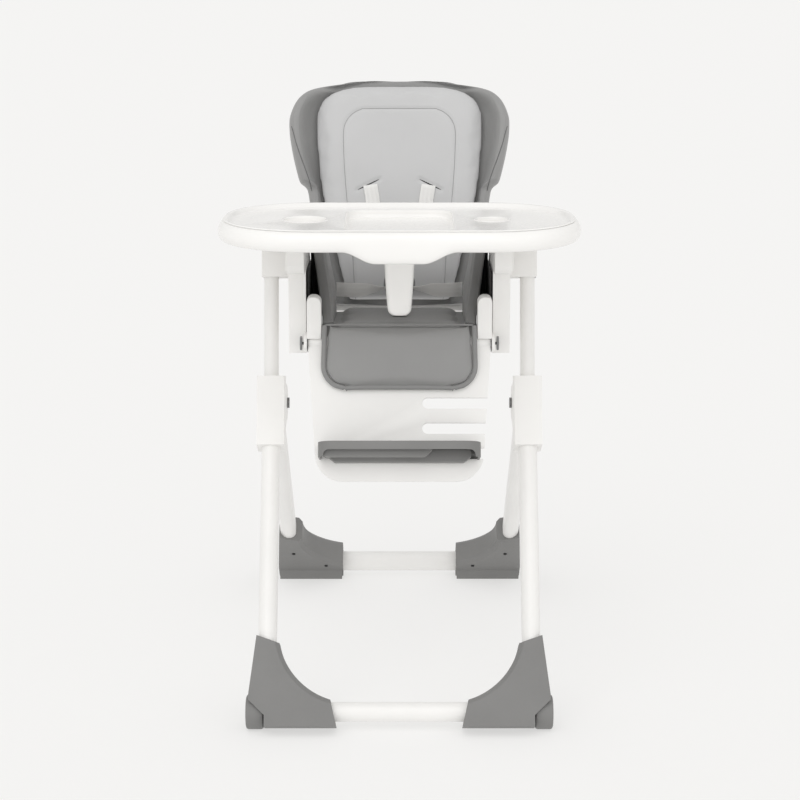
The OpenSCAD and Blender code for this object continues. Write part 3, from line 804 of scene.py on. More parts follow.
@dataclass(frozen=True)
class Studio:
    """Camera, floor and lights.

    Attributes:
        eye: Place of the camera.
        pitch: Its tilt from straight down.
        lens: Focal length on a sensor 36 mm wide.
        shift: Sideways shift of the picture.
        floor_level: Grey level of the floor's paper.
        floor_glow: Light of its own that the paper adds.
        sky: Strength of the even light.
        sun: Strength of the soft key light.
        front: Strength of the low light from the front.
        fill: Strength of the light from the right.
    """

    eye: tuple[float, float, float] = (0.0, -3.4925, 1.273)
    pitch: float = 76.9
    lens: float = 91.35
    shift: float = 0.00075
    floor_level: float = 166
    floor_glow: float = 0.55
    sky: float = 0.74
    sun: float = 0.55
    front: float = 0.42
    fill: float = 0.20

    def build(self, materials: Materials) -> None:
        """Sets the camera, the lights and the floor."""
        camera = bpy.data.cameras.new("camera")
        camera.lens = self.lens
        camera.sensor_width = 36
        camera.shift_x = self.shift
        camera.clip_end = 200
        eye = bpy.data.objects.new("camera", camera)
        eye.location = self.eye
        eye.rotation_euler = (math.radians(self.pitch), 0, 0)
        bpy.context.scene.collection.objects.link(eye)
        bpy.context.scene.camera = eye
        world = bpy.data.worlds.new("studio")
        world.use_nodes = True
        world.node_tree.nodes["Background"].inputs["Color"].default_value = (1.0, 0.995, 0.985, 1)
        world.node_tree.nodes["Background"].inputs["Strength"].default_value = self.sky
        bpy.context.scene.world = world
        bpy.context.scene.view_settings.view_transform = "Standard"
        bpy.context.scene.view_settings.look = "None"
        self.light("key", self.sun, 50, (38, 0, -24))
        self.light("front", self.front, 70, (78, 0, -6))
        self.light("fill", self.fill, 60, (52, 0, 40))
        bpy.ops.mesh.primitive_plane_add(size=160, location=(0, 40, 0))
        floor = bpy.context.object
        floor.name = "studio_floor"
        paper = Finish("frame_tube", self.floor_level, Materials.COVER, (0.9, 0.95), spread=0.0, bump=0.0)
        paint = materials.build("floor_paper", paper)
        shader = paint.node_tree.nodes["Principled BSDF"]
        shader.inputs["Specular IOR Level"].default_value = 0.0
        shader.inputs["Emission Color"].default_value = (1.0, 0.995, 0.985, 1)
        shader.inputs["Emission Strength"].default_value = self.floor_glow
        floor.data.materials.append(paint)

    def light(self, name: str, energy: float, spread: float, turn: tuple[float, float, float]) -> None:
        """Adds a soft sun."""
        lamp = bpy.data.lights.new(name, "SUN")
        lamp.energy = energy
        lamp.angle = math.radians(spread)
        obj = bpy.data.objects.new(name, lamp)
        obj.rotation_euler = [math.radians(a) for a in turn]
        bpy.context.scene.collection.objects.link(obj)


# ------------------------------------------------------------------ frame


@dataclass(frozen=True)
class TubeFrame:
    """Legs, rails, crossbars, hubs, feet and wheels.

    Attributes:
        hub_edge: Radius of the hubs' edges.
        foot_edge: Radius of the feet's edges.
        screw: Radius of the screws in the rear feet.
        wheel_out: Distance of the wheels' outer faces from the middle.
        wheel_width: Width of a wheel.
        rear_foot_out: Distance of the rear legs' middles from the chair's.
        screw_depth: Depth of the screws in the rear legs' frame.
        screw_spots: Distance inwards and height of each screw.
    """

    hub_edge: float = 6 * MM
    foot_edge: float = 5.5 * MM
    screw: float = 3.2 * MM
    wheel_out: float = 249.5 * MM
    wheel_width: float = 29 * MM
    rear_foot_out: float = 216 * MM
    screw_depth: float = -25.8 * MM
    screw_spots: tuple[Point2, ...] = ((8 * MM, 92 * MM), (70 * MM, 34 * MM))

    def build(self, m: Materials) -> None:
        """Builds the frame's pieces."""
        for name in ("front_leg", "rail", "rail_cap", "rear_leg"):
            for side in ("left", "right"):
                obj = refined(f"{name}_{side}", 0.4 * MM, 1)
                dress(obj, m.white if name == "rail_cap" else m.tube,
                      "rear_frame" if name == "rear_leg" else "front_frame")
        dress(refined("front_crossbar", 0.3 * MM, 1), m.tube, "front_frame")
        dress(refined("rear_crossbar", 0.3 * MM, 1), m.tube, "rear_frame")
        for side in ("left", "right"):
            for name in ("axle", "pivot_pin"):
                node = frame["nodes"][f"{name}_{side}"]
                node.data.materials.clear()
                node.data.materials.append(m.steel)
            dress(refined(f"hub_{side}", self.hub_edge, 5, 40), m.white, "front_frame")
            dress(refined(f"front_foot_{side}", self.foot_edge, 4, 40), m.grey, "front_frame")
            dress(refined(f"knuckle_{side}", 0.6 * MM, 2), m.grey, "rear_frame")
            dress(refined(f"rear_foot_{side}", self.foot_edge, 4, 40), m.grey, "rear_frame")
            dress(refined(f"fold_button_{side}", 1.2 * MM, 3), m.button, f"fold_button_{side}")
        both_sides(lambda side, sign: self.wheel(m, side, sign))
        both_sides(lambda side, sign: self.screws(m, side, sign))

    def wheel(self, m: Materials, side: str, sign: int) -> None:
        """Wheel with a rounded tread and a dished hub."""
        axle = joint_place(f"wheel_spin_{side}")
        out, width, r = self.wheel_out, self.wheel_width, axle.z
        inner = out - width
        profile = [(inner + 2 * MM, 5 * MM), (inner + 2 * MM, 14 * MM), (inner, 17 * MM), (inner, r - 4 * MM),
                   (inner + 1.2 * MM, r - 1.2 * MM), (inner + 4 * MM, r), (out - 4 * MM, r),
                   (out - 1.2 * MM, r - 1.2 * MM), (out, r - 4 * MM), (out, r - 7 * MM),
                   (out - 2.5 * MM, r - 9 * MM), (out - 3.5 * MM, 12 * MM), (out - 3.5 * MM, 5 * MM)]
        rings = [[Vector((sign * x, y, z)) for y, z in circle(q, 64, axle.y, axle.z)]
                 for x, q in profile]
        obj = loft(f"wheel_{side}_turned", rings)
        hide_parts(f"wheel_{side}")
        dress(obj, m.grey, f"wheel_{side}")

    def screws(self, m: Materials, side: str, sign: int) -> None:
        """Two small screws on each rear foot."""
        parts = []
        lean = PLACES.rear
        for inward, height in self.screw_spots:
            x = sign * (self.rear_foot_out - inward)
            spot = lean @ Vector((x, self.screw_depth, -PLACES.rear_leg + height))
            turn = Matrix.Translation(spot) @ lean.to_3x3().to_4x4()
            parts.append(prism(f"screw_{side}_{len(parts)}", circle(self.screw, 20), -1.2 * MM, 2 * MM,
                               Plane.FRONT, 0.4 * MM, 2, turn))
        obj = join(f"rear_foot_screws_{side}", *parts)
        dress(obj, m.black, "rear_frame")


# ------------------------------------------------------------------- seat


@dataclass(frozen=True)
class SeatShell:
    """Hard parts of the seat: sides, armrests, sliders, cheeks and pan, with black sheets of painted shade inside the
    sides.
    """

    edge: float = 5 * MM
    cheek_in: float = 127 * MM
    side_in: float = 150.5 * MM
    cheek_low: float = 621 * MM
    cheek_top: float = 690 * MM
    cheek_front: float = -262 * MM
    cheek_back: float = -229 * MM
    shift: float = 7.5 * MM
    # Offset and flattening of the black sheets of painted shade inside the hard sides.
    shade_sheet_off: float = 1.6 * MM
    shade_sheet_share: float = 0.03

    def build(self, m: Materials) -> None:
        """Builds the hard parts."""
        for side in ("left", "right"):
            dress(refined(f"seat_side_{side}", 2.5 * MM, 3), m.white, "seat_carriage")
            dress(refined(f"armrest_{side}", 7 * MM, 5, 40), m.white, "seat_carriage")
            dress(refined(f"slider_{side}", self.edge, 4, 40), m.white, "seat_carriage")
            dress(refined(f"height_button_{side}", 1.5 * MM, 3), m.button, f"height_button_{side}")
        dress(refined("seat_pan", 3 * MM, 3), m.white, "seat_carriage")
        both_sides(lambda side, sign: self.cheek(m, side, sign))
        both_sides(lambda side, sign: self.shade_sheet(m, side, sign))

    def shade_sheet(self, m: Materials, side: str, sign: int) -> None:
        """Thin black sheet over the inner face of a hard side: painted shade where that face lies in shadow."""
        obj = copy_of(f"seat_side_{side}", f"side_shade_sheet_{side}")
        points = coordinates(obj)
        out = points[:, 0] * sign
        points[:, 0] = sign * (out.min() - self.shade_sheet_off + (out - out.min()) * self.shade_sheet_share)
        place_points(obj, points)
        dress(obj, m.black, "seat_carriage")

    def cheek(self, m: Materials, side: str, sign: int) -> None:
        """Round-topped cheek beside the front of the seat."""
        corners = [(self.cheek_in, self.cheek_low), (self.side_in, self.cheek_low),
                   (self.side_in, self.cheek_top), (self.cheek_in, self.cheek_top)]
        outline = fillet(corners, [1.5 * MM, 1.5 * MM, 9 * MM, 13 * MM], 10)
        obj = prism(f"front_cheek_{side}_shape", [(sign * x, z) for x, z in outline],
                    self.cheek_front + self.shift, self.cheek_back + self.shift, Plane.FRONT, 4 * MM, 4)
        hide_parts(f"front_cheek_{side}")
        dress(obj, m.white, "seat_carriage")


@dataclass(frozen=True)
class SeatPadding:
    """Seat cushion, side bolsters, harness straps and buckle."""

    cushion_x: float = 105 * MM
    bolster_lean: float = 12.0
    bolster_base: float = 642 * MM
    bolster_thick: float = 18 * MM
    shift: float = 7.5 * MM
    buckle_z: float = 678 * MM
    buckle_y: float = -72 * MM
    buckle_r: float = 27 * MM

    def build(self, m: Materials) -> None:
        """Builds the soft parts of the seat."""
        self.cushion(m)
        both_sides(lambda side, sign: self.bolster(m, side, sign))
        both_sides(lambda side, sign: self.waist_strap(m, side, sign))
        self.buckle(m)
        self.crotch_strap(m)

    def cushion(self, m: Materials) -> None:
        """Seat cushion, blown up a little."""
        obj = puff(copy_of("seat_cushion", "seat_cushion_pad"), 5 * MM, 4.0, 5 * MM, 2.5 * MM)
        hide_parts("seat_cushion")
        dress(obj, m.dark, "seat_carriage")

    def bolster(self, m: Materials, side: str, sign: int) -> None:
        """Padded side of the seat with a bound edge."""
        obj = puff(copy_of(f"bolster_{side}", f"bolster_{side}_pad"), 4.5 * MM, 5.0, 5 * MM, 3 * MM)
        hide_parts(f"bolster_{side}")
        dress(obj, m.dark, "seat_carriage")
        inner, outer = sign * (self.cushion_x + 3.5 * MM), sign * (self.cushion_x + 22 * MM)
        plan = [(inner, -205 * MM), (outer, -205 * MM), (outer, -30 * MM), (inner, -30 * MM)]
        foot = prism(f"bolster_foot_{side}", plan, -27 * MM, 14 * MM, Plane.TOP, 4 * MM, 3, PLACES.seat)
        dress(foot, m.dark, "seat_carriage")
        low_plan = [(sign * (self.cushion_x - 12 * MM), -203 * MM), (inner, -203 * MM),
                    (inner, -30 * MM), (sign * (self.cushion_x - 12 * MM), -30 * MM)]
        valley = prism(f"seat_valley_{side}", low_plan, -27 * MM, -6 * MM, Plane.TOP, 0, 3, PLACES.seat)
        dress(valley, m.dark, "seat_carriage")
        # Black sheet behind the gap between the hard side and the bolster: it stands for the dark cover behind the
        # gap, darkened to black as painted shade of the cavity.
        wall = sign * 151 * MM
        corner = [(sign * 118 * MM, 0.645), (wall, 0.645), (wall, 0.77), (sign * 145 * MM, 0.77)]
        gap_shade = prism(f"side_gap_shade_{side}", corner, -66 * MM, -64 * MM, Plane.FRONT)
        dress(gap_shade, m.black, "seat_carriage")
        place = Matrix.Translation((sign * (self.cushion_x + 1.5 * MM), self.shift, self.bolster_base)) \
            @ Matrix.Rotation(math.radians(sign * self.bolster_lean), 4, "Y")
        edge = [(-240, 2), (-216, 18), (-166, 55), (-110, 94), (-82, 112), (-52, 127), (-20, 129), (14, 129)]
        path = spline([Vector((sign * self.bolster_thick * 0.5, a * MM, b * MM)) for a, b in edge], 60)
        welt = tube(f"bolster_binding_{side}", [place @ p for p in path], flat_section(17 * MM, 5 * MM, 5),
                    place.to_3x3() @ Vector((0, -0.6, 0.8)))
        dress(welt, m.binding, "seat_carriage")

    def waist_strap(self, m: Materials, side: str, sign: int) -> None:
        """Waist strap that twists towards the buckle."""
        knots = [(108, -60, 668, 25, 0.0), (92, -66, 668, 25, 0.05), (70, -68, 668, 25, 0.05),
                 (50, -70, 670, 22, 0.1), (36, -72, 671, 15, 0.5), (24, -71, 672, 10, 0.9)]
        path = spline([Vector((sign * x * MM, y * MM + self.shift, z * MM)) for x, y, z, _, _ in knots], 40)
        wide = Curve(tuple((k / 5, knots[k][3] * MM) for k in range(6)))
        twist = Curve(tuple((k / 5, knots[k][4]) for k in range(6)))
        rings = []
        for i, point in enumerate(path):
            t = i / (len(path) - 1)
            up = Vector((0, -math.sin(twist.at(t)), math.cos(twist.at(t))))
            out = Vector((0, math.cos(twist.at(t)), math.sin(twist.at(t))))
            rings.append([point + up * a + out * b for a, b in flat_section(wide.at(t), 1.8 * MM)])
        obj = loft(f"waist_strap_{side}_web", rings)
        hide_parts(f"waist_strap_{side}")
        dress(obj, m.webbing, "seat_carriage")

    def buckle(self, m: Materials) -> None:
        """Round buckle with a ring and a push button."""
        r = self.buckle_r
        profile = [(14 * MM, 0.2), (14 * MM, r - 2 * MM), (12.5 * MM, r - 0.4 * MM), (10 * MM, r), (4 * MM, r),
                   (1.5 * MM, r - 1.2 * MM), (0.4 * MM, r - 4 * MM), (0.0, r - 8 * MM), (0.2 * MM, r - 11 * MM),
                   (1.6 * MM, r - 12 * MM), (1.6 * MM, r - 13 * MM), (0.4 * MM, r - 14 * MM),
                   (-0.6 * MM, r - 18 * MM), (-1.2 * MM, 2 * MM)]
        rings = [[Vector((x, self.buckle_y + self.shift + depth, z))
                  for x, z in circle(min(radius, r), 72, 0.0, self.buckle_z)] for depth, radius in profile]
        rings[0] = [Vector((p.x * 0.02, p.y, self.buckle_z + (p.z - self.buckle_z) * 0.02))
                    for p in rings[1]]
        obj = loft("buckle_round", rings)
        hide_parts("buckle")
        dress(obj, m.button, "seat_carriage")

    def crotch_strap(self, m: Materials) -> None:
        """Crotch strap along the seat, rising to the buckle."""
        knots = [(0, -158, 4), (0, -140, 4), (0, -110, 4.2), (0, -84, 5.5), (0, -66, 14)]
        path = spline([PLACES.seat @ Vector((x * MM, y * MM, z * MM)) for x, y, z in knots], 30)
        obj = tube("crotch_strap_web", path, flat_section(25 * MM, 2 * MM), Vector((0, 0, 1)))
        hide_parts("crotch_strap")
        dress(obj, m.webbing, "seat_carriage")


# --------------------------------------------------------------- backrest


def pillow(name: str, levels: Sequence[float], half: Callable[[float], float],
           front: Callable[[float, float], float], back: Callable[[float, float], float],
           place: Matrix, across: int = 40) -> bpy.types.Object:
    """Closed pad between two faces that meet at its rim.

    Args:
        name: Name of the object.
        levels: Heights of its rows.
        half: Half width at a height.
        front: Depth of the front face at a share of the half width and a height.
        back: Depth of the back face there.
        place: Frame that the pad is drawn in.
        across: Cells across each face.

    Returns:
        The pad.
    """
    rings = []
    for z in levels:
        ring = []
        for k in range(2 * across):
            a = k / across
            share = -math.cos(math.pi * a) if k <= across else math.cos(math.pi * (a - 1))
            side = front if k <= across else back
            ring.append(place @ Vector((share * half(z), side(share, z), z)))
        rings.append(ring)
    return loft(name, rings)


@dataclass(frozen=True)
class Backrest:
    """Padded back: shell, dark cover with wings, light insert and straps.

    Attributes:
        pad_width: Half widths of the light insert by height.
        cover_width: Half widths of the dark cover by height.
        wing_reach: How far forward its sides stand by height.
        panel_width: Half widths of the stitched inner panel by height.
    """

    pad_width: Curve = Curve(((24, 92), (40, 98), (58, 103), (110, 116), (160, 129), (204, 139),
                              (276, 149), (338, 152)))
    cover_width: Curve = Curve(((20, 138), (60, 146), (110, 152), (160, 156), (205, 159.5),
                                (226, 163.5), (233, 168), (238, 175), (261, 182), (298, 190),
                                (330, 194.5), (348, 195), (369, 190), (391, 179), (403, 167),
                                (411, 150), (416, 128), (421, 104), (425, 88), (427, 70)))
    wing_reach: Curve = Curve(((20, 8), (110, 0), (200, -4), (224, -6), (240, -20), (300, -27), (345, -27),
                               (380, -20), (400, -8), (414, 6), (427, 18)))
    panel_width: Curve = Curve(((30, 76), (58, 79), (110, 82), (204, 92), (260, 96.5), (320, 98.7)))
    pad_top: float = 419
    pad_shoulder: float = 338
    pad_power: float = 3.3
    panel_top: float = 369
    panel_shoulder: float = 322
    pad_front: float = -8
    pad_back: float = 19
    cover_back: float = 29

    def pad_half(self, z: float) -> float:
        """Half width of the insert at a height, in millimetres."""
        if z <= self.pad_shoulder:
            return self.pad_width.at(z)
        rise = min(1.0, (z - self.pad_shoulder) / (self.pad_top - self.pad_shoulder))
        return self.pad_width.at(z) * (1 - rise**self.pad_power) ** (1 / self.pad_power)

    def build(self, m: Materials) -> None:
        """Builds the backrest."""
        dress(refined("back_shell", 4 * MM, 3, 40), m.white, "backrest")
        dress(refined("recline_handle", 3 * MM, 3), m.button, "recline_handle")
        cover = self.cover(m)
        pad = self.pad(m)
        self.seams(m, pad, cover)
        both_sides(lambda side, sign: self.strap(m, pad, side, sign))

    def cover(self, m: Materials) -> bpy.types.Object:
        """Dark cover whose sides stand forward as wings."""
        levels = list(np.linspace(20, 220, 22)) + list(np.linspace(223, 245, 12)) \
            + list(np.linspace(252, 400, 22)) + list(np.linspace(404, 427, 12))
        rings = []
        for z in levels:
            w = self.cover_width.at(z)
            f = self.wing_reach.at(z)
            p = min(self.pad_half(min(z, 405)), w - 22)
            b = self.cover_back
            knots = [(0, b), (w * 0.55, b), (w - 16, b - 0.5), (w - 4, b - 7), (w, b - 20 if f < -2 else b - 12),
                     (w - 0.5, max(f + 14, f + 0.35 * (b - f))), (w - 4.5, f + 4), (w - 11, f), (w - 19, f + 2.5),
                     (0.5 * (w - 22 + p), max(f + 9, 4)), (p + 1, 13), (p - 9, 19.5), (p - 22, 20.3), (0, 20.3)]
            half = spline([Vector((x, y, 0)) for x, y in knots], 44)
            other = [Vector((-q.x, q.y, 0)) for q in reversed(half)][1:-1]
            rings.append([PLACES.back @ Vector((q.x * MM, q.y * MM, z * MM)) for q in half + other])
        obj = loft("back_cover_shell", rings)
        modify(obj, "SMOOTH", factor=0.4, iterations=2)
        modify(obj, "SUBSURF", levels=1)
        self.ruffle(obj)
        smooth(obj, 60)
        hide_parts("back_cover")
        return dress(obj, m.dark, "backrest")

    def ruffle(self, obj: bpy.types.Object) -> None:
        """Slight unevenness of the stretched cover."""
        points = coordinates(obj)
        x, z = points[:, 0] * 1000, points[:, 2] * 1000
        wave = 0.5 * np.sin(x * 0.11 + z * 0.07) * np.sin(z * 0.045 + 1.3)
        points[:, 1] += wave * MM
        place_points(obj, points)

    def pad(self, m: Materials) -> bpy.types.Object:
        """Light insert, crowned and with a round rim."""
        rise = [self.pad_shoulder + (self.pad_top - self.pad_shoulder) * math.sin(t)
                for t in np.linspace(0, math.pi / 2, 26)]
        levels = [24.0, 24.6, 26, 28.5, 32] + list(np.linspace(38, 330, 50)) + rise

        def bulge(share: float, z: float) -> float:
            """Share of the full thickness at a place."""
            low = min(1.0, max(0.0, (z - 24) / 16))
            high = min(1.0, max(0.0, (self.pad_top - z) / 22))
            edge = (1 - abs(share) ** 9) ** 0.5 if abs(share) < 1 else 0.0
            return edge * math.sqrt(1 - (1 - low) ** 2) * math.sqrt(1 - (1 - high) ** 2)

        middle = 9.0
        obj = pillow("back_pad_insert", [z * MM for z in levels], lambda z: self.pad_half(z / MM) * MM,
                     lambda s, z: (middle - (middle - self.pad_front) * bulge(s, z / MM)) * MM,
                     lambda s, z: (middle + (self.pad_back - middle) * bulge(s, z / MM)) * MM, PLACES.back)
        puff(obj, 5 * MM, 3.0, 4 * MM, 1.5 * MM)
        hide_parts("back_pad")
        return dress(obj, m.light, "backrest")

    def panel_line(self) -> list[Vector]:
        """Line of the stitched inner panel, in the backrest's frame."""
        right = [(self.panel_width.at(z), z) for z in (26, 58, 110, 160, 204, 260, 300, 322)]
        arc = [(self.panel_width.at(322) - 42 + 42 * math.cos(t), 325 + 44 * math.sin(t))
               for t in np.linspace(0.25, math.pi / 2, 6)]
        half = right + arc
        whole = half + [(-x, z) for x, z in reversed(half)]
        return spline([Vector((x * MM, 0, z * MM)) for x, z in whole], 200)

    def seams(self, m: Materials, pad: bpy.types.Object, cover: bpy.types.Object) -> None:
        """Stitched lines pressed into the insert and the wings."""
        into = PLACES.back.to_3x3() @ Vector((0, 1, 0))
        line = [PLACES.back @ p for p in self.panel_line()]
        laid = Draper(pad, into).lay(line)
        crease(pad, laid, 1.5 * MM, 2.6 * MM, into)
        smooth(pad, 60)
        laid = Draper(pad, into).lay(line, 0.05 * MM)
        dress(tube("back_pad_seam", laid, circle(0.55 * MM, 6), into), m.thread, "backrest")
        for side, sign in (("left", -1), ("right", 1)):
            knots = [(192.5, 334), (189, 322), (183, 300), (175, 277), (167, 256), (160, 236), (156.5, 222)]
            path = spline([PLACES.back @ Vector((sign * x * 0.985 * MM, 0, z * MM)) for x, z in knots], 60)
            path = Draper(cover, into).lay(path, 0.1 * MM)
            if len(path) > 5:
                seam = tube(f"wing_seam_{side}", path, circle(0.8 * MM, 6), into)
                dress(seam, m.dark_thread, "backrest")

    def strap(self, m: Materials, pad: bpy.types.Object, side: str, sign: int) -> None:
        """Shoulder strap from its slit, with a black ring in the slit's mouth as painted shade of the opening."""
        into = PLACES.back.to_3x3() @ Vector((0, 1, 0))
        drape = Draper(pad, into)
        outer, inner = Vector((sign * 73 * MM, 0, 223 * MM)), Vector((sign * 35.5 * MM, 0, 241.5 * MM))
        mouth = drape.lay([PLACES.back @ outer.lerp(inner, t) for t in np.linspace(0, 1, 24)], -0.6 * MM)
        crease(pad, mouth, 2.2 * MM, 4 * MM, into)
        drape = Draper(pad, into)
        mouth = drape.lay([PLACES.back @ outer.lerp(inner, t) for t in np.linspace(0, 1, 24)], 0.0)
        # Black flat ring along the slit: painted shade inside its opening.
        up = PLACES.back.to_3x3() @ Vector((-sign * 0.44, 0, 0.9)).normalized()
        rings = []
        for i, point in enumerate(mouth):
            t = i / (len(mouth) - 1)
            tall = 2.0 * MM * math.sqrt(max(0.02, 1 - (2 * t - 1) ** 2))
            rings.append([point + up * (tall * a) + into * (0.5 * MM * b) for a, b in circle(1.0, 10)])
        dress(loft(f"strap_slit_shade_{side}", rings), m.black, "backrest")
        centre = [(51.5, 232.5), (49.5, 220), (47.2, 205), (43, 160), (38, 118), (32, 96)]
        spots = spline([Vector((sign * x * MM, 0, z * MM)) for x, z in centre], 60)
        laid = drape.lay([PLACES.back @ p for p in spots], 1.6 * MM)
        laid[0] = laid[0] + into * 4 * MM
        laid[1] = laid[1] + into * 1.2 * MM
        obj = tube(f"shoulder_strap_{side}_web", laid, flat_section(25 * MM, 1.8 * MM), -into)
        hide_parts(f"shoulder_strap_{side}")
        dress(obj, m.webbing, "backrest")


# --------------------------------------------------------------- leg rest


@dataclass(frozen=True)
class LegRest:
    """Hinged panel, padded flap with its binding, and footrest.

    Attributes:
        flap_half: Half width of the flap.
        flap_low: Lowest point of the flap, below the hinge.
        flap_top: Top of the flap at the seat cushion's front edge.
        flap_corner: Radius of its lower corners.
        foot_half: Half width of the footrest.
        foot_front: Distance of the footrest's front from the hinge's plane.
        foot_z: Height of the footrest's tongue along the leg rest.
        hood_rise: Height of the hood above the tongue's middle.
    """

    flap_half: float = 126
    flap_low: float = -79
    flap_top: float = 29
    flap_corner: float = 40
    foot_half: float = 130
    foot_front: float = -79
    foot_z: float = -181.8
    hood_rise: float = 6.0
    panel_front: float = -9

    def build(self, m: Materials) -> None:
        """Builds the leg rest."""
        dress(refined("leg_rest_panel", 2.2 * MM, 3), m.white, "leg_rest")
        for side in ("left", "right"):
            dress(refined(f"leg_rest_button_{side}", 0.8 * MM, 2), m.button, f"leg_rest_button_{side}")
        self.flap(m)
        self.footrest(m)

    def half(self, z: float, trim: float = 0.0) -> float:
        """Half width of the flap at a height, less a trim at its edge."""
        r = self.flap_corner - trim
        low = self.flap_low + trim
        full = self.flap_half - trim + 1.5 * min(1.0, max(0.0, -z / 60))
        if z >= low + r:
            return full
        drop = min(r, low + r - z)
        return full - r + math.sqrt(max(0.0, r * r - drop * drop))

    def face(self, z: float) -> float:
        """Depth of the flap's front at a height."""
        return Curve(((-79, -21), (-60, -24.5), (-20, -26.5), (0, -26.5), (14, -24), (24, -19), (29, -12))).at(z)

    def flap(self, m: Materials) -> None:
        """Padded flap over the front edge of the seat, bound at its rim."""
        rows = [self.flap_low + self.flap_corner * (1 - math.cos(t)) for t in np.linspace(0, math.pi / 2, 18)]
        rows += list(np.linspace(self.flap_low + self.flap_corner + 3, self.flap_top - 4, 22))
        rows += [self.flap_top - 2.5, self.flap_top - 1.2, self.flap_top - 0.4, self.flap_top]

        def fullness(share: float, z: float) -> float:
            """Share of the thickness at a place, thin at the bound rim."""
            low = min(1.0, max(0.0, (z - self.flap_low) / 14))
            top = min(1.0, max(0.0, (self.flap_top - z) / 8))
            edge = max(0.0, 1 - abs(share) ** 18) ** 0.5
            return edge * math.sqrt(1 - (1 - low) ** 2) * math.sqrt(1 - (1 - top) ** 2)

        def back(share: float, z: float) -> float:
            """Depth of the flap's back face."""
            return (self.panel_front - 1.2 if z < 0 else -12.2) + (1 - fullness(share, z)) * (-6.0)

        obj = pillow("front_flap_pad", [z * MM for z in rows], lambda z: self.half(z / MM, 4) * MM,
                     lambda s, z: (back(s, z / MM)
                                   + (self.face(z / MM) - back(s, z / MM)) * fullness(s, z / MM)) * MM,
                     lambda s, z: back(s, z / MM) * MM, PLACES.leg_rest)
        puff(obj, 4.5 * MM, 3.0, 3.5 * MM, 1.2 * MM)
        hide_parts("front_flap")
        dress(obj, m.dark)
        rim_z = [self.flap_top - 3, 10, -10, -30]
        rim_z += [self.flap_low + self.flap_corner * (1 - math.sin(t)) for t in np.linspace(0.15, math.pi / 2, 8)]
        side = [(self.half(z, 4.0), z) for z in rim_z]
        side[-1] = (self.half(self.flap_low + 4.0, 4.0) - 8, self.flap_low + 4.0)
        whole = side + [(0.0, self.flap_low + 4.6)] + [(-x, z) for x, z in reversed(side)]
        depth = Curve(((-79, -15.5), (-60, -16.5), (0, -18.5), (29, -17)))
        path = spline([Vector((x * MM, depth.at(z) * MM, z * MM)) for x, z in whole], 150)
        place = PLACES.leg_rest
        out = place.to_3x3() @ Vector((0, -1, 0))
        rim = tube("front_flap_binding", [place @ p for p in path], flat_section(8.5 * MM, 7 * MM, 6), out)
        dress(rim, m.binding)
        top = spline([Vector((x * MM, y * MM, z * MM)) for x, y, z in
                      ((-119, -17, 27.5), (-70, -18.5, 27.2), (0, -19, 27), (70, -18.5, 27.2), (119, -17, 27.5))], 60)
        piping = tube("seat_front_piping", [place @ p for p in top], circle(1.6 * MM, 8), out)
        dress(piping, m.binding, "seat_carriage")
        for piece in (obj, rim):
            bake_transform(piece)

    def footrest(self, m: Materials) -> None:
        """Footrest: a hood with a deep lip, a rib under it and the tongue."""
        place, w, f, z = PLACES.leg_rest, self.foot_half, self.foot_front, self.foot_z + self.hood_rise
        back = self.panel_front - 0.4
        plan = fillet([(-w, back), (-w, f), (w, f), (w, back)], [1, 26, 26, 1], 10)
        hood = prism("footrest_hood", in_metres(plan), (z - 16) * MM, (z + 8) * MM, Plane.TOP)
        inner = fillet([(-w + 4, back + 3), (-w + 4, f + 4), (w - 4, f + 4), (w - 4, back + 3)], [1, 23, 23, 1], 10)
        hollow = prism("hollow", in_metres(inner), (z - 20) * MM, (z + 3) * MM, Plane.TOP)
        arch = fillet(oblong(-w + 9, w - 9, z - 22, z - 5.5), [0.1, 0.1, 12, 12], 8)
        mouth = prism("mouth", in_metres(arch), (f - 5) * MM, (f + 22) * MM, Plane.FRONT)
        cut(hood, hollow, mouth)
        soften(hood, 2.0 * MM, 3, 40)
        edge = fillet([(-w + 7, z - 15.5), (42, z - 15.5), (60, z + 2.8), (-w + 7, z + 2.8)], [8, 12, 12, 1], 8)
        rib = prism("rib", in_metres(edge), (f + 14) * MM, (back - 8) * MM, Plane.FRONT, 1.5 * MM, 3)
        strip = fillet([(-104, z - 22), (104, z - 22), (116, z - 13), (116, z - 2), (-116, z - 2),
                        (-116, z - 13)], 5, 6)
        base = prism("strip", in_metres(strip), (back - 26) * MM, back * MM, Plane.FRONT, 1.2 * MM, 3)
        z = self.foot_z
        tongue = prism("tongue", in_metres(oblong(48, w, z - 3, z + 8)), (back - 1) * MM, 3 * MM,
                       Plane.FRONT, 1 * MM, 2)
        hook = prism("hook", in_metres(oblong(48, w, z - 14, z + 18)), 1.4 * MM, 5.4 * MM,
                     Plane.FRONT, 1 * MM, 2)
        obj = join("footrest_moulding", hood, rib, base, tongue, hook)
        move(obj, place)
        smooth(obj)
        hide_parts("footrest")
        dress(obj, m.grey, "footrest")


# ------------------------------------------------------------------- tray


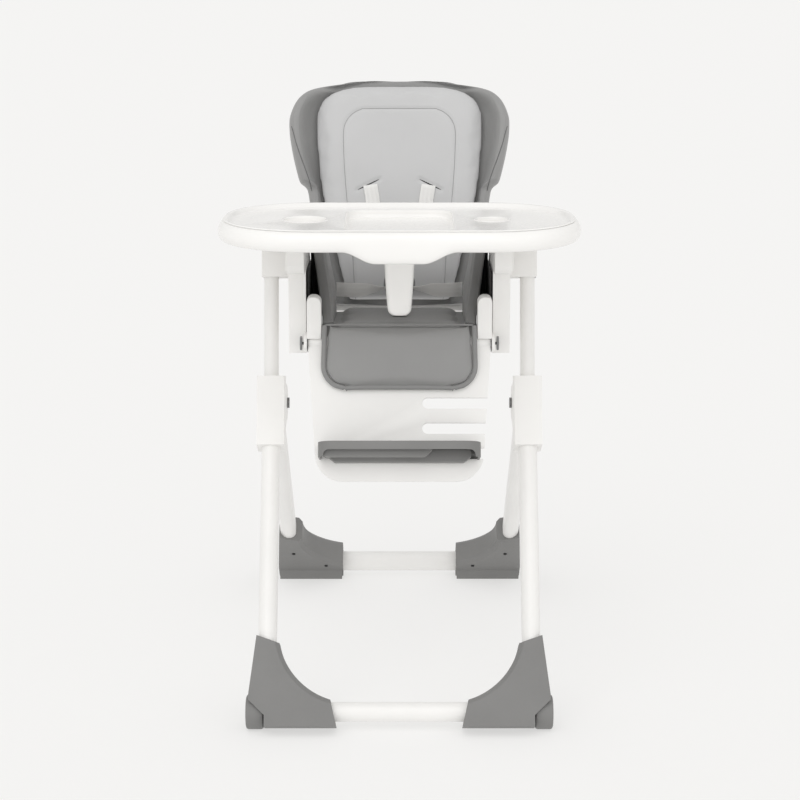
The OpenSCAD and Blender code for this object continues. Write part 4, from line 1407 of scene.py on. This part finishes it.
@dataclass(frozen=True)
class Tray:
    """Tray with an apron and a post, its lift-out liner and its lever.

    Attributes:
        width: Width of the tray.
        depth: Depth of the tray.
        corner: Radius of its ends.
        middle: Place of its middle, front to back.
        low: Height of its underside.
        drop: How far the apron hangs below the rim.
    """

    width: float = 576
    depth: float = 344
    corner: float = 150
    middle: float = -270.5
    low: float = 791
    drop: float = 18
    apron_in: float = 37
    apron_out: float = 88
    post_front: float = -254.5
    post_deep: float = 24
    post_low: float = 659

    def ring(self, inset: float, height: float, share: float = 0.0, steps: int = 20) -> list[Vector]:
        """Ring around the tray.

        Args:
            inset: Distance inside the tray's outline.
            height: Height of the ring.
            share: Share of the apron's drop that it takes.
            steps: Points of each corner.

        Returns:
            The ring's points.
        """
        hx, hy, r = self.width / 2 - inset, self.depth / 2 - inset, self.corner - inset
        out: list[Vector] = []
        for cx, cy, start in ((1, 1, 0), (-1, 1, 90), (-1, -1, 180), (1, -1, 270)):
            for k in range(steps + 1):
                t = math.radians(start + 90 * k / steps)
                out.append(Vector((cx * (hx - r) + r * math.cos(t), cy * (hy - r) + r * math.sin(t), 0)))
            if start == 180:
                out += [Vector((-(hx - r) + 2 * (hx - r) * k / 60, -hy, 0)) for k in range(1, 60)]
            elif start == 0:
                out += [Vector(((hx - r) - 2 * (hx - r) * k / 10, hy, 0)) for k in range(1, 10)]
        ring = []
        for p in out:
            fall = 0.0
            if p.y < 0 and abs(p.x) < self.apron_out:
                t = min(1.0, (self.apron_out - abs(p.x)) / (self.apron_out - self.apron_in))
                fall = self.drop * t * t * (3 - 2 * t)
            ring.append(Vector((p.x * MM, (p.y + self.middle) * MM, (height - fall * share) * MM)))
        return ring

    def build(self, m: Materials) -> None:
        """Builds the tray."""
        self.base(m)
        self.post(m)
        self.liner(m)
        dress(refined("tray_lever", 3 * MM, 3), m.button, "tray_lever")

    def base(self, m: Materials) -> None:
        """Outer tray, round-edged, with the apron in its front wall."""
        z = self.low
        levels = [(18, 9, 0), (16.6, 5, 0.3), (14.6, 1.6, 0.8), (12.5, 0.2, 1), (9.5, 0.2, 1),
                  (6.2, 1.6, 1), (3.5, 4.2, 1), (1.5, 8, 0.85), (0.4, 12, 0.6), (0, 16, 0.25),
                  (0.5, 20, 0.05), (1.9, 24, 0), (4.0, 27.4, 0), (6.4, 29.8, 0), (8.6, 31.2, 0),
                  (10.4, 31.5, 0), (11.6, 30.8, 0), (12.2, 29, 0), (12.4, 12.6, 0)]
        obj = loft("tray_base_shell", [self.ring(i, z + h, s) for i, h, s in levels])
        smooth(obj, 50)
        parts = []
        for sign in (-1, 1):
            for x0, x1, low, high in ((155.5, 178, -3.6, 9.5), (147, 151, -20, 11), (187, 191, -20, 11)):
                corners = in_metres(oblong(sign * x0, sign * x1, -273.5, -123.5))
                parts.append(prism("runner", corners, (z + low) * MM, (z + high) * MM, Plane.TOP, 1 * MM, 2))
        for x in (-24, 24):
            pin = in_metres(circle(4, 24, x, -423.5))
            parts.append(prism("guide", pin, (z - 8) * MM, (z + 9.5) * MM, Plane.TOP))
        join("tray_base_shell", obj, *parts)
        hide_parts("tray_base")
        dress(obj, m.gloss, "tray")

    def post(self, m: Materials) -> None:
        """Crotch post, tapered and round at its foot."""
        middle = self.post_front + self.post_deep / 2
        rows = [(800.5, 26.0, 12.0), (780, 25.6, 12), (750, 24.6, 12), (720, 23.2, 12),
                (695, 21.6, 12), (680, 20.4, 12)]
        for t in np.linspace(0, math.pi / 2, 9):
            turn = 1 - math.cos(t)
            rows.append((671 - 12 * math.sin(t), 19.6 - 11 * turn, 12 - 4.5 * turn))
        rings = []
        for z, half, deep in rows:
            outline = fillet(oblong(-half, half, -deep, deep), min(8.0, half * 0.6, deep * 0.75), 8)
            rings.append([Vector((a * MM, (middle + b) * MM, z * MM)) for a, b in outline])
        obj = loft("crotch_post_moulding", rings)
        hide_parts("crotch_post")
        dress(obj, m.gloss, "tray")

    def liner(self, m: Materials) -> None:
        """Liner with a rolled lip, a middle recess, a cup ring and a dish."""
        z = self.low
        levels = [(13.2, 12.7), (13.0, 29), (12.6, 31.7), (10.2, 31.8), (9.4, 32.4), (9.8, 33.5), (11.6, 34.2),
                  (14, 33.9), (16.5, 32.6), (19, 30.2), (21.5, 28.0), (24.5, 26.9), (29, 26.5)]
        obj = loft("tray_liner_moulding", [self.ring(i, z + h) for i, h in levels])
        y = self.middle
        floor = z + 14.8
        mid = fillet(oblong(-86, 86, y + 4 - 118, y + 4 + 118), 30, 10)
        tools = [self.pocket("middle", mid, floor, 5.0)]
        for x, r in ((-151, 33), (148, 25)):
            tools.append(self.pocket("round", circle(r, 56, x, y + 11), floor, 4.0))
        cut(obj, *tools)
        soften(obj, 1.6 * MM, 3, 45)
        smooth(obj, 40)
        rings = []
        for x, r in ((-151, 36), (148, 28)):
            path = [Vector((a, b, (z + 26.4) * MM)) for a, b in in_metres(circle(r, 64, x, y + 11))]
            rings.append(tube("ring", path, flat_section(3.4 * MM, 2.2 * MM, 4), Vector((0, 0, 1)), True))
        join("tray_liner_moulding", obj, *rings)
        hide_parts("tray_liner")
        dress(obj, m.gloss, "tray_liner")

    def pocket(self, name: str, outline: Sequence[Point2], floor: float, corner: float) -> bpy.types.Object:
        """Cutter for a recess, round at its floor."""
        tool = prism(name, in_metres(outline), floor * MM, (self.low + 60) * MM, Plane.TOP)
        return soften(tool, corner * MM, 4, 60)


def main() -> None:
    """Builds the chair from its parts, in order."""
    logging.basicConfig(level=logging.INFO, format="%(message)s")
    materials = Materials()
    Studio().build(materials)
    for assembly in (TubeFrame(), SeatShell(), SeatPadding(), Backrest(), LegRest(), Tray()):
        LOG.info("building %s", type(assembly).__name__)
        assembly.build(materials)


if __name__ == "__main__":
    main()
